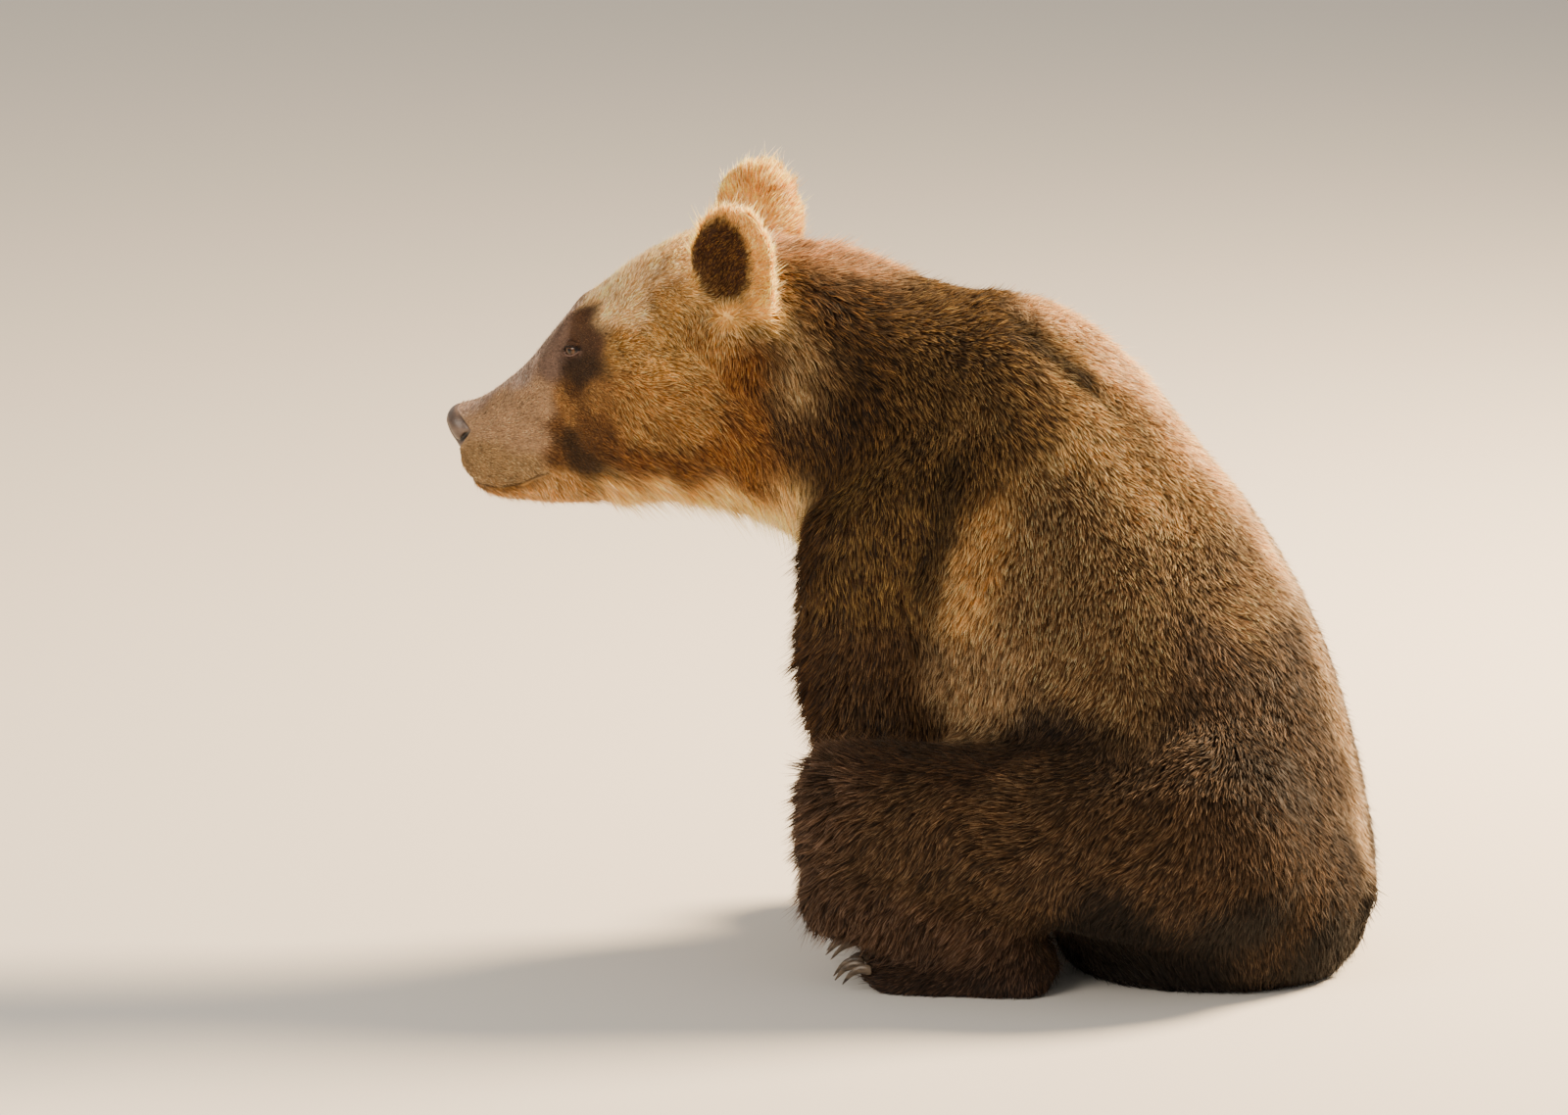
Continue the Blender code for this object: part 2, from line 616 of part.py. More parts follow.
def side_nodes(side, name, coats):
    """The legs, paws and claws of one side."""
    turned = (lambda points: points) if side > 0 else mirrored

    rings = turned(leg_rings(FORELEG_STATIONS, foreleg_row))
    cut = round(len(rings) * ELBOW_RING)
    lower = rings[cut:].copy()
    way = rings[cut + 1].mean(axis=0) - rings[cut].mean(axis=0)
    lower[0] += GAP * way / np.linalg.norm(way)
    upper_arm = loft(f"{name}_upper_arm", rings[: cut + 1], coats["arm"], (0.012, 0.0))
    forearm = loft(f"{name}_forearm", lower, coats["arm"])

    rings = turned(leg_rings(THIGH_STATIONS, thigh_row))
    thigh = loft(f"{name}_thigh", rings, coats["leg"], (0.002, 0.002))
    rings = turned(leg_rings(SHIN_STATIONS, shin_row))
    shin = loft(f"{name}_shin", rings, coats["leg"], (0.003, 0.004))

    fore = placed_paw(paw_sections(FOREPAW), FOREPAW, side)
    hind = placed_paw(paw_sections(HINDPAW), HINDPAW, side)
    forepaw = loft(f"{name}_forepaw", fore, coats["leg"], (0.002, 0.002))
    hindfoot = loft(f"{name}_hind_foot", hind, coats["leg"], (0.002, 0.002))
    fore_claws = make_claws(f"{name}_fore", FOREPAW, FORE_CLAW, side, coats["claw"])
    hind_claws = make_claws(f"{name}_hind", HINDPAW, HIND_CLAW, side, coats["claw"])

    cut_round(forearm, forepaw)
    cut_round(forepaw, *fore_claws, clear=SHARP_CLEAR)
    cut_round(shin, thigh, hindfoot)
    cut_round(thigh, hindfoot)
    cut_round(hindfoot, *hind_claws, clear=SHARP_CLEAR)
    return upper_arm, forearm, forepaw, thigh, shin, hindfoot


# ---- the whole bear ------------------------------------------------------------------
def main():
    clear_scene()
    coats = {
        "head": material("head_coat", (0.48, 0.30, 0.11), 0.85),
        "neck": material("neck_coat", (0.15, 0.085, 0.038), 0.85),
        "flank": material("flank_coat", (0.19, 0.105, 0.045), 0.85),
        "arm": material("arm_coat", (0.085, 0.042, 0.018), 0.85),
        "leg": material("leg_coat", (0.065, 0.032, 0.015), 0.85),
        "ear": material("ear_coat", (0.50, 0.24, 0.07), 0.85),
        "nose": material("nose_pad", (0.20, 0.145, 0.12), 0.45),
        "eye": material("eye", (0.035, 0.016, 0.008), 0.12),
        "claw": material("claw_horn", (0.16, 0.115, 0.075), 0.40),
    }
    trunk, neck, head = central_nodes(coats)

    head_reach = [head.data.copy()]
    jaw = bpy.data.objects.new("lower_jaw", head_reach[0])
    bpy.context.scene.collection.objects.link(jaw)
    jaw_space = jaw_prism("jaw_space", 0.0)
    jaw_inner = jaw_prism("jaw_inner", 0.0006)
    boolean(jaw, jaw_inner, "INTERSECT")
    boolean(head, jaw_space, "DIFFERENCE")

    nose = make_nose(coats["nose"])
    cut_round(jaw, nose)
    cut_round(head, nose)

    turned_items = [head, jaw, jaw_space, jaw_inner, nose]
    for side, name in ((1, "left"), (-1, "right")):
        centre = np.array(EYE_CENTRE) * np.array([side, 1, 1])
        eye = ellipsoid(f"{name}_eye", centre, (EYE_RADIUS,) * 3, 11, 6, coats["eye"], "Y")
        ear = loft(f"{name}_ear", ear_rings(side), coats["ear"])
        cut_round(head, eye)
        cut_round(head, ear, clear=SHARP_CLEAR * 1.4)
        turned_items += [eye, ear]
    for made in list(bpy.data.objects):
        if made.name.startswith(("cut_head", "cut_lower_jaw")):
            turned_items.append(made)
    for made in turned_items:
        reshape_mesh(made, with_head_turn)
    for made in (bpy.data.objects["left_ear"], bpy.data.objects["right_ear"]):
        cut_round(neck, made, clear=SHARP_CLEAR * 1.4)

    tail = make_tail(coats["flank"])
    cut_round(trunk, tail)
    for side, name in ((1, "left"), (-1, "right")):
        upper_arm, forearm, forepaw, thigh, shin, hindfoot = side_nodes(side, name, coats)
        cut_round(trunk, upper_arm, forearm, thigh, shin, hindfoot)
        cut_round(neck, upper_arm, forearm)
        cut_round(forearm, thigh, shin, hindfoot)
        cut_round(forepaw, shin, hindfoot)

    cut_nodes = [made for made in bpy.data.objects if made.modifiers]
    for made in cut_nodes:
        settle(made)
    for made in list(bpy.data.objects):
        if made.hide_render:
            bpy.data.objects.remove(made, do_unlink=True)
        else:
            made.data.transform(Matrix.Translation((0.0, MIDDLE_SHIFT_Y, 0.0)))


main()
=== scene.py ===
"""A young grizzly sitting upright: one skin over the solids, a coat of hair locks combed over
it, and eyes, nose pad and claws of their own. Metres; +Z up; the bear faces -Y, its left is +X."""

import math

import bmesh
import bpy
import numpy as np
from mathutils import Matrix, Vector
from mathutils.bvhtree import BVHTree
from mathutils.kdtree import KDTree


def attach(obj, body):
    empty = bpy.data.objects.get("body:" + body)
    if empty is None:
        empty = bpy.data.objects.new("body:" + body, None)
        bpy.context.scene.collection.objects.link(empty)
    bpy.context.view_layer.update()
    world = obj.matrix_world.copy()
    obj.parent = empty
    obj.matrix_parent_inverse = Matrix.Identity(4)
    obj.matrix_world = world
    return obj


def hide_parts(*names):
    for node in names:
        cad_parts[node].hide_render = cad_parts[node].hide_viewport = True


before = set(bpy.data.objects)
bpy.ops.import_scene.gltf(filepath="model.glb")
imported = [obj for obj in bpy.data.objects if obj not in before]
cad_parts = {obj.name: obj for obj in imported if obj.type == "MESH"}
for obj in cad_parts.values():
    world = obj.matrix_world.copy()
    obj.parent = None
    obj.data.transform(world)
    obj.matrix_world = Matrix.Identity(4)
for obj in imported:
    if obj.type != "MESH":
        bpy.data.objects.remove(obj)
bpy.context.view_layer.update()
DICE = np.random.default_rng(8)

SEAM_SWELL = 0.0009  # lets the flesh solids overlap, so that one skin closes over them
SKIN_GRID = 0.0065  # side of the skin's even quads, before the face is refined
FLOOR_CLEAR = 0.0015  # the skin is kept over this height
LOWEST_HAIR = 0.0006  # lowest point of any lock
BARE_UNDER = 0.006  # no lock grows from the soles or the seat below this height
MOST_LOCKS_IN_PIECE = 62000
BAKE_PATCH = 0.003  # side of each lock's own patch on the bake map
LOCKS_IN_TUFT = 26  # about how many locks lean to one tip where the coat gathers
SHORTEST_GUARDED = 0.0052  # coat shorter than this has no guard hairs
SHADOWED_SHARE, LIT_TONE = 0.30, 1.18  # share of shadowed locks, and how bright the others are
COAT_SHARE = 1.0
GUARD_SHARE = 0.10  # of the locks are long fine guard hairs that stand clear of the coat

HEAD_YAW, HEAD_ROLL = math.radians(7), math.radians(5)
HEAD_PIVOT = np.array([0.0, -0.0513, 0.60])
EYE_PLACE = np.array([0.0446, -0.3618, 0.6495])
EYE_RADIUS = 0.0115
EYE_GAZE = np.array([0.84, -0.54, 0.02])
NOSE_CORE = np.array([0.0, -0.4790, 0.5555])
EYE_CORNER = 0.98  # radians from the gaze to either corner of the eye
LIDS_END = 0.022  # how far from the eyeball's middle the lids reach
LID_SKIN_END = 0.0175  # how far from it the lids are bare and dark, the upper lid partly as painted shadow
LIPS_TOP = 0.56  # height over which no part of the head counts as lips
EAR_PLACE = np.array([0.112, -0.1893, 0.704])
EAR_CUP_FACES = np.array([0.951, -0.309, 0.0])
EAR_ALONG = np.array([0.309, 0.951, 0.0])
EAR_CUP = (-0.014, 0.033, 0.057, 0.047)  # the dark oval: middle and half along the ear, then up it
# Where the lips meet, seen from the side of a head that looks straight ahead: y, z.
LIP_LINE = [(-0.500, 0.513), (-0.489, 0.507), (-0.4818, 0.4990), (-0.4702, 0.4940), (-0.4512, 0.4925),
            (-0.4278, 0.4980), (-0.4085, 0.5095), (-0.392, 0.515)]

SIDES = ("left", "right")
FLESH = {
    "head": ["head", "lower_jaw"],
    "ear": ["left_ear", "right_ear"],
    "neck": ["neck"],
    "trunk": ["trunk", "tail"],
    "arm": ["left_upper_arm", "right_upper_arm"],
    "foreleg": ["left_forearm", "right_forearm"],
    "forepaw": ["left_forepaw", "right_forepaw"],
    "thigh": ["left_thigh", "right_thigh"],
    "shin": ["left_shin", "right_shin"],
    "hindfoot": ["left_hind_foot", "right_hind_foot"],
}
ZONES = list(FLESH)

# Each kind of coat: lock length, width, depth over the skin and spacing in mm, then how far the
# locks gather into points and stand away, then the colour at the root, the middle and the tip; the
# dark roots are partly the hair's own dark base, partly painted shade deep in the coat.
COATS = {
    "muzzle": (5.5, 0.75, 1.0, 1.40, 0.1, 0.14, "#785E46", "#AC8A68", "#DCBE96"),
    # muzzle_top: pale partly as the bridge's own hair, partly as painted rim light along the top of the
    # muzzle
    "muzzle_top": (6.5, 0.75, 1.1, 1.40, 0.1, 0.60, "#90766A", "#C4AA98", "#F8E8D6"),
    "lip": (6.0, 0.75, 1.1, 1.35, 0.2, 0.22, "#5C442A", "#9C7E56", "#DABC8C"),
    "chin": (13.0, 0.8, 2.2, 1.50, 0.4, 0.80, "#6A4820", "#CE9850", "#FFE4A8"),
    "eye_skin": (4.0, 0.75, 0.7, 1.30, 0.0, 0.05, "#2C1B10", "#523520", "#7C5838"),
    "eye_front": (4.0, 0.75, 0.7, 1.30, 0.0, 0.0, "#54402F", "#7E6456", "#A48876"),
    # below_eye: dark partly as a marking of the face, partly as painted shade under the eye
    "below_eye": (5.0, 0.8, 1.2, 1.40, 0.1, 0.05, "#21150C", "#3E2815", "#64462A"),
    "face": (8.0, 0.85, 2.4, 1.55, 0.2, 0.15, "#553718", "#A3743E", "#E0B06A"),
    # dusk and the mouth patch: dark partly as markings of the face, partly as painted shade on the side of
    # the muzzle and about the mouth
    "dusk": (8.0, 0.85, 2.2, 1.60, 0.2, 0.12, "#38240F", "#6A4420", "#A0703A"),
    "mouth_patch_and_shade": (8.0, 0.85, 2.2, 1.60, 0.2, 0.1, "#22160A", "#3E2812", "#6C4A26"),
    "cheek": (15.0, 1.0, 6.0, 1.75, 0.4, 0.3, "#55320F", "#B68040", "#F4CC84"),
    "gold": (13.0, 1.0, 5.0, 1.70, 0.4, 0.3, "#6A4520", "#CB9A50", "#F8DA98"),
    # forehead: pale partly as golden hair, partly as painted rim light on the top of the head
    "forehead": (12.0, 1.0, 4.4, 1.65, 0.3, 0.62, "#BA8A48", "#FAD8A0", "#FFF6DA"),
    "jowl": (19.0, 1.1, 7.5, 1.85, 0.5, 0.35, "#3A200C", "#7E4C1E", "#CC9048"),
    # throat and ear_back: golden partly as the hair's own colour, partly as painted glow of light shining
    # through it from behind
    "throat": (30.0, 1.1, 10.5, 2.0, 0.7, 0.90, "#DC9C44", "#FFD484", "#FFF2C0"),
    "ear_back": (14.0, 0.9, 4.2, 1.50, 0.25, 0.9, "#E09C44", "#FFDA88", "#FFF6CE"),
    "ear_cup": (9.0, 0.9, 2.2, 1.60, 0.2, 0.5, "#22130A", "#4C2D16", "#B88440"),
    "ruff": (23.0, 1.25, 9.5, 2.0, 0.5, 0.4, "#1C1008", "#422912", "#946A38"),
    "tan_neck": (24.0, 1.25, 9.5, 2.0, 0.5, 0.4, "#3E2A14", "#A27C4C", "#EACC98"),
    "dark_neck": (24.0, 1.3, 11.0, 2.1, 0.5, 0.4, "#140C06", "#34200F", "#86602F"),
    # crest: pale partly as the neck's own golden hair, partly as painted rim light along the top of the neck
    "crest": (26.0, 1.2, 11.0, 2.0, 0.3, 0.75, "#8A5E36", "#DCAC78", "#FFE8C4"),
    "shoulder": (20.0, 1.3, 10.0, 2.1, 0.4, 0.28, "#1B1009", "#4C3217", "#AC8850"),
    "hump": (21.0, 1.3, 11.0, 2.1, 0.4, 0.34, "#1F1308", "#483018", "#B89054"),
    # ridge and rump_edge: pale partly as the back's golden hair, partly as painted rim light along the back
    # and the rump's edge
    "ridge": (19.0, 1.2, 11.0, 2.05, 0.35, 0.6, "#9A7244", "#E8C496", "#FFF4DC"),
    "rump_edge": (18.0, 1.3, 10.0, 2.1, 0.4, 0.45, "#4C351E", "#AC8A62", "#F8E6C6"),
    "gold_back": (16.0, 1.1, 10.0, 1.98, 0.35, 0.40, "#3A240F", "#AA8046", "#FCE2A8"),
    "flank": (15.0, 1.1, 10.0, 1.98, 0.3, 0.34, "#281A0D", "#6E5030", "#D6B684"),
    "flank_front": (18.0, 1.2, 9.5, 2.05, 0.4, 0.3, "#5C3A18", "#BA8A4C", "#F4D496"),
    "flank_low": (19.0, 1.2, 9.5, 2.1, 0.4, 0.28, "#3E2A18", "#8E6E48", "#D8BA8C"),
    "rump": (18.0, 1.3, 10.0, 2.1, 0.4, 0.3, "#100A06", "#25180E", "#5A4431"),
    "rump_dark": (18.0, 1.3, 9.5, 2.1, 0.4, 0.3, "#1B110A", "#402D1C", "#866A4E"),
    "seat": (20.0, 1.9, 7.0, 3.0, 0.4, 0.1, "#0A0604", "#130C07", "#22170F"),
    "belly": (22.0, 1.9, 9.0, 3.0, 0.4, 0.15, "#2C1C0E", "#563B1E", "#7E5F38"),
    "arm": (20.0, 1.3, 9.0, 2.1, 0.45, 0.25, "#1F1307", "#4E3418", "#A08048"),
    "foreleg": (21.0, 1.3, 8.0, 2.1, 0.6, 0.3, "#180F08", "#3B2612", "#7C5E3C"),
    "foreleg_edge": (27.0, 1.3, 8.5, 2.0, 0.92, 0.85, "#170D06", "#35200E", "#64431F"),
    "foot": (14.0, 1.2, 3.5, 2.0, 0.45, 0.28, "#1A110A", "#35241A", "#624A38"),
    "thigh": (20.0, 1.3, 8.5, 2.1, 0.5, 0.28, "#1D120A", "#3E2A16", "#866A4C"),
    "thigh_top": (21.0, 1.3, 8.0, 2.1, 0.5, 0.35, "#1B100A", "#3C2718", "#6C4E34"),
    "knee": (27.0, 1.3, 8.5, 2.0, 0.92, 0.8, "#1E140D", "#483423", "#866A56"),
    "shin": (25.0, 1.3, 7.5, 2.1, 0.85, 0.6, "#1E140D", "#4E3725", "#886C57"),
}

# Where each kind of coat lies: x, y, z on the left half in mm, the way its hair is combed there in
# x, y, z, and its name.
# The head's and ears' places are for a head that looks straight ahead.
PLACES = {
    "head": [
        (0, -470, 583, 0, 0.85, 0.5, "muzzle_top"), (0, -440, 606, 0, 0.85, 0.5, "muzzle_top"),
        (0, -405, 636, 0, 0.8, 0.6, "muzzle_top"), (22, -425, 612, 0.2, 0.9, 0.4, "muzzle_top"),
        (38, -462, 560, 0.2, 0.97, 0.1, "muzzle"), (30, -450, 588, 0.2, 0.95, 0.2, "muzzle"),
        (45, -425, 590, 0.2, 0.95, 0.2, "muzzle"), (52, -420, 555, 0.2, 0.97, -0.1, "muzzle"),
        (52, -400, 605, 0.3, 0.95, 0.1, "muzzle"), (42, -462, 530, 0.2, 0.9, -0.3, "lip"),
        (36, -474, 512, 0.2, 0.85, -0.45, "lip"), (48, -440, 515, 0.1, 0.9, -0.4, "lip"),
        (54, -412, 522, 0.1, 0.9, -0.35, "lip"), (0, -492, 515, 0, -0.2, -1, "lip"),
        (0, -470, 483, 0, 0.6, -0.8, "chin"), (25, -440, 482, 0, 0.75, -0.65, "chin"),
        (35, -410, 486, 0, 0.8, -0.6, "chin"), (43, -380, 656, 0.2, 0.9, 0.2, "eye_front"),
        (50, -392, 628, 0.25, 0.9, 0, "eye_front"), (34, -376, 668, 0.1, 0.85, 0.5, "eye_front"),
        (50, -366, 662, 0.2, 0.9, 0.2, "eye_skin"), (52, -350, 688, 0.2, 0.85, 0.5, "eye_skin"),
        (66, -346, 668, 0.2, 0.95, 0.1, "eye_skin"), (76, -337, 664, 0.2, 0.95, 0.1, "eye_skin"),
        (62, -366, 638, 0.2, 0.9, -0.3, "below_eye"), (75, -357, 625, 0.2, 0.9, -0.3, "below_eye"),
        (80, -345, 640, 0.2, 0.95, -0.1, "below_eye"), (0, -378, 668, 0, 0.7, 0.7, "muzzle_top"),
        (0, -350, 698, 0, 0.75, 0.65, "forehead"), (30, -342, 704, 0.1, 0.75, 0.65, "forehead"),
        (66, -328, 694, 0.2, 0.9, 0.3, "forehead"), (90, -312, 668, 0.3, 0.95, 0, "gold"),
        (60, -396, 584, 0.3, 0.92, -0.2, "muzzle"), (70, -374, 602, 0.3, 0.92, -0.2, "face"),
        (90, -335, 612, 0.3, 0.92, -0.2, "face"), (76, -365, 585, 0.3, 0.92, -0.2, "face"),
        (74, -368, 560, 0.25, 0.92, -0.25, "mouth_patch_and_shade"), (93, -339, 562, 0.25, 0.9, -0.35, "dusk"),
        (56, -405, 553, 0.25, 0.95, -0.1, "muzzle"), (74, -368, 540, 0.25, 0.92, -0.25, "mouth_patch_and_shade"),
        (66, -384, 572, 0.25, 0.92, -0.2, "dusk"), (64, -384, 538, 0.25, 0.92, -0.2, "dusk"),
        (82, -352, 583, 0.25, 0.92, -0.2, "dusk"), (99, -325, 578, 0.25, 0.9, -0.3, "dusk"),
        (101, -318, 552, 0.25, 0.9, -0.3, "jowl"), (72, -362, 612, 0.25, 0.92, -0.2, "dusk"),
        (78, -350, 532, 0.2, 0.9, -0.4, "mouth_patch_and_shade"), (62, -378, 510, 0.2, 0.8, -0.6, "chin"),
        (0, -300, 745, 0.05, 0.9, 0.45, "forehead"), (45, -310, 730, 0.2, 0.9, 0.35, "forehead"),
        (80, -300, 700, 0.3, 0.95, 0, "forehead"), (0, -235, 770, 0, 1, 0.1, "forehead"),
        (50, -255, 756, 0.3, 0.95, 0.1, "forehead"), (95, -265, 710, 0.25, 0.9, -0.3, "gold"),
        (103, -278, 684, 0.25, 0.88, -0.4, "gold"), (112, -262, 655, 0.25, 0.88, -0.4, "gold"),
        (105, -290, 620, 0.2, 0.85, -0.5, "cheek"), (108, -300, 585, 0.2, 0.85, -0.5, "cheek"),
        (128, -244, 627, 0.1, 0.8, -0.6, "cheek"), (122, -240, 585, 0.1, 0.75, -0.65, "cheek"),
        (118, -215, 690, 0.1, 0.4, -0.9, "cheek"), (119, -215, 561, 0.1, 0.75, -0.7, "jowl"),
        (98, -300, 548, 0.2, 0.85, -0.5, "jowl"), (106, -250, 540, 0.1, 0.75, -0.7, "jowl"),
        (127, -165, 600, 0, 0.6, -0.8, "jowl"), (124, -167, 655, 0.1, 0.4, -0.9, "jowl"),
        (110, -160, 540, 0, 0.5, -0.85, "jowl"), (50, -385, 494, 0, 0.85, -0.5, "chin"),
        (78, -335, 504, 0.1, 0.75, -0.65, "throat"), (92, -280, 506, 0.1, 0.7, -0.7, "throat"),
        (100, -215, 502, 0.1, 0.6, -0.8, "throat"), (0, -370, 478, 0, 0.75, -0.65, "chin"),
        (0, -330, 478, 0, 0.75, -0.65, "throat"), (55, -300, 485, 0.1, 0.75, -0.65, "throat"),
        (0, -250, 468, 0, 0.6, -0.8, "throat"), (75, -220, 485, 0.1, 0.55, -0.8, "throat"),
        (0, -160, 462, 0, 0.4, -0.9, "throat"), (80, -160, 480, 0.1, 0.45, -0.9, "throat"),
        (0, -165, 775, 0, 1, 0, "crest"), (127, -141, 600, 0, 0.6, -0.8, "ruff"),
        (120, -140, 640, 0, 0.6, -0.8, "ruff"), (90, -140, 735, 0.1, 0.85, -0.4, "gold"),
    ],
    "neck": [
        (100, -120, 715, 0, 0.8, -0.6, "ruff"), (0, -110, 758, 0, 1, 0.1, "crest"),
        (25, -60, 742, 0, 1, 0.1, "crest"), (123, -110, 659, 0, 0.5, -0.85, "tan_neck"),
        (132, -104, 628, 0, 0.4, -0.9, "tan_neck"), (133, -82, 640, 0, 0.45, -0.9, "dark_neck"),
        (136, -98, 590, 0, 0.35, -0.95, "dark_neck"), (130, -110, 560, 0, 0.35, -0.95, "dark_neck"),
        (137, -76, 589, 0, 0.35, -0.95, "dark_neck"), (134, -82, 560, 0, 0.3, -0.95, "dark_neck"),
        (110, -125, 500, 0, 0.3, -1, "throat"), (80, -130, 470, 0, 0.2, -1, "throat"),
        (0, -110, 450, 0, 0.1, -1, "throat"), (0, 10, 718, 0, 1, -0.2, "hump"),
        (75, -50, 722, 0.05, 0.8, -0.6, "dark_neck"), (110, -75, 690, 0.05, 0.7, -0.7, "dark_neck"),
        (125, -40, 665, 0.05, 0.6, -0.8, "dark_neck"), (135, -45, 620, 0, 0.5, -0.85, "dark_neck"),
        (132, 30, 640, 0, 0.45, -0.9, "shoulder"), (90, 30, 700, 0, 0.7, -0.7, "shoulder"),
        (50, 20, 715, 0, 0.8, -0.5, "hump"), (130, -60, 540, 0, 0.2, -1, "dark_neck"),
        (100, -80, 470, 0, 0.05, -1, "dark_neck"), (0, -40, 420, 0, 0.05, -1, "belly"),
    ],
    "trunk": [
        (0, 110, 712, 0.05, 0.9, -0.4, "ridge"), (45, 110, 700, 0.15, 0.7, -0.65, "hump"),
        (95, 120, 672, 0.15, 0.6, -0.75, "shoulder"), (12, 160, 690, 0.1, 0.7, -0.65, "ridge"),
        (58, 165, 672, 0.1, 0.65, -0.7, "gold_back"), (100, 190, 635, 0.1, 0.55, -0.8, "gold_back"),
        (18, 225, 640, 0.05, 0.65, -0.75, "ridge"), (66, 232, 615, 0.05, 0.62, -0.78, "gold_back"),
        (0, 235, 635, 0, 0.75, -0.7, "ridge"), (105, 235, 585, 0.1, 0.5, -0.9, "gold_back"),
        (8, 310, 552, 0.1, 0.6, -0.8, "ridge"), (52, 305, 545, 0.1, 0.6, -0.8, "gold_back"),
        (95, 300, 520, 0.1, 0.5, -0.85, "gold_back"), (5, 382, 458, 0.05, 0.45, -0.9, "ridge"),
        (55, 375, 450, 0.05, 0.42, -0.9, "flank"), (100, 360, 420, 0.05, 0.35, -0.93, "flank"),
        (5, 436, 354, 0.05, 0.35, -0.93, "rump_edge"), (50, 425, 352, 0.05, 0.32, -0.93, "rump_dark"),
        (2, 470, 250, 0, 0.15, -1, "rump_edge"), (48, 458, 235, 0, 0.15, -1, "rump_dark"),
        (0, 485, 150, 0, 0.1, -1, "rump_edge"), (50, 478, 130, 0, 0.1, -1, "rump"),
        (130, 160, 620, 0.05, 0.45, -0.9, "shoulder"), (136, 200, 570, 0.1, 0.4, -0.9, "gold_back"),
        (150, 200, 530, 0.1, 0.4, -0.9, "flank"), (166, 190, 490, 0.05, 0.1, -1, "flank"),
        (172, 95, 530, 0, -0.15, -1, "flank_front"), (180, 90, 480, 0, -0.2, -1, "flank_front"),
        (173, 78, 410, 0, -0.25, -1, "flank_front"), (165, 70, 330, 0, -0.3, -1, "flank_low"),
        (190, 115, 350, 0, -0.2, -1, "flank_low"), (205, 170, 420, 0, -0.1, -1, "flank"),
        (208, 221, 354, 0, -0.05, -1, "flank"), (150, 300, 470, 0.05, 0.3, -0.95, "flank"),
        (200, 280, 380, 0, 0.1, -1, "flank"), (165, 350, 372, 0.03, 0.2, -1, "rump_dark"),
        (165, 365, 330, 0, 0.15, -1, "rump_dark"), (105, 430, 280, 0, 0.15, -1, "rump_dark"),
        (150, 405, 220, 0, 0.1, -1, "rump"), (200, 200, 275, 0, -0.15, -1, "rump"),
        (130, 440, 120, 0, 0.1, -1, "rump_dark"), (100, 470, 50, 0, 0.2, -1, "seat"),
        (0, 490, 60, 0, 0.2, -1, "seat"), (180, 300, 30, 0.4, 0.3, -0.9, "seat"),
        (0, 250, 0, 0, 1, 0, "seat"), (0, 60, 300, 0, -0.1, -1, "belly"),
        (90, 60, 250, 0, -0.1, -1, "belly"), (0, 100, 80, 0, -0.2, -1, "belly"),
    ],
    "arm": [
        (140, 100, 620, 0, 0.35, -0.95, "shoulder"), (155, 40, 590, 0, 0.1, -1, "shoulder"),
        (175, 0, 520, 0, -0.05, -1, "arm"), (165, 50, 500, 0, 0, -1, "arm"),
        (120, -105, 480, 0, -0.2, -1, "foreleg_edge"), (174, 0, 430, 0, -0.1, -1, "arm"),
        (60, 0, 450, 0, -0.05, -1, "belly"),
    ],
    "foreleg": [
        (105, -115, 430, 0, -0.45, -0.9, "foreleg_edge"), (105, -105, 370, 0, -0.5, -0.85, "foreleg_edge"),
        (105, -100, 300, 0, -0.5, -0.85, "foreleg_edge"), (150, -30, 400, 0, -0.1, -1, "foreleg"),
        (150, -10, 330, 0, -0.1, -1, "foreleg"), (140, -10, 260, 0, -0.1, -1, "foreleg"),
        (105, 60, 340, 0, 0.25, -0.95, "foreleg"), (95, -70, 180, 0, -0.2, -1, "foreleg_edge"),
        (110, 10, 130, 0, 0, -1, "foreleg"), (85, -20, 70, 0, -0.2, -1, "foot"),
    ],
    "forepaw": [
        (81, 60, 40, 0, 0.1, -1, "foreleg"), (81, 0, 60, 0, -0.8, -0.5, "foot"),
        (81, -60, 30, 0, -0.9, -0.4, "foot"),
    ],
    "thigh": [
        (160, 430, 230, 0.05, 0.15, -1, "rump"), (200, 430, 190, 0.05, 0, -1, "rump_dark"),
        (240, 390, 150, 0, -0.2, -0.95, "rump_dark"), (215, 400, 90, 0, -0.2, -0.95, "seat"),
        (220, 310, 262, 0.1, -0.3, -0.9, "rump_dark"), (257, 316, 202, 0, -0.5, -0.8, "thigh"),
        (270, 183, 208, 0, -0.8, -0.5, "thigh"), (205, 120, 262, 0.2, -0.95, -0.15, "thigh_top"),
        (210, 30, 262, 0.2, -0.95, -0.2, "thigh_top"), (274, 184, 136, 0, -0.6, -0.75, "thigh"),
        (265, 60, 190, 0, -0.75, -0.6, "thigh"), (253, -32, 225, 0, -0.7, -0.7, "knee"),
        (205, -80, 200, 0, -0.6, -0.8, "knee"), (150, -40, 200, 0, -0.5, -0.8, "knee"),
        (230, 250, 90, 0, -0.3, -0.95, "seat"), (130, 150, 180, 0, -0.6, -0.7, "belly"),
    ],
    "shin": [
        (198, -65, 130, 0, -0.5, -0.85, "shin"), (250, 0, 110, 0, -0.45, -0.9, "shin"),
        (245, 80, 80, 0, -0.4, -0.9, "shin"), (198, 150, 60, 0, -0.1, -1, "shin"),
        (150, 20, 90, 0, -0.3, -0.9, "shin"),
    ],
    "hindfoot": [
        (195, 180, 40, 0, 0.1, -1, "foot"), (195, 60, 60, 0.1, -0.8, -0.4, "foot"),
        (200, -10, 30, 0, -0.9, -0.4, "foot"),
    ],
}


# ---------------------------------------------------------------- small helpers

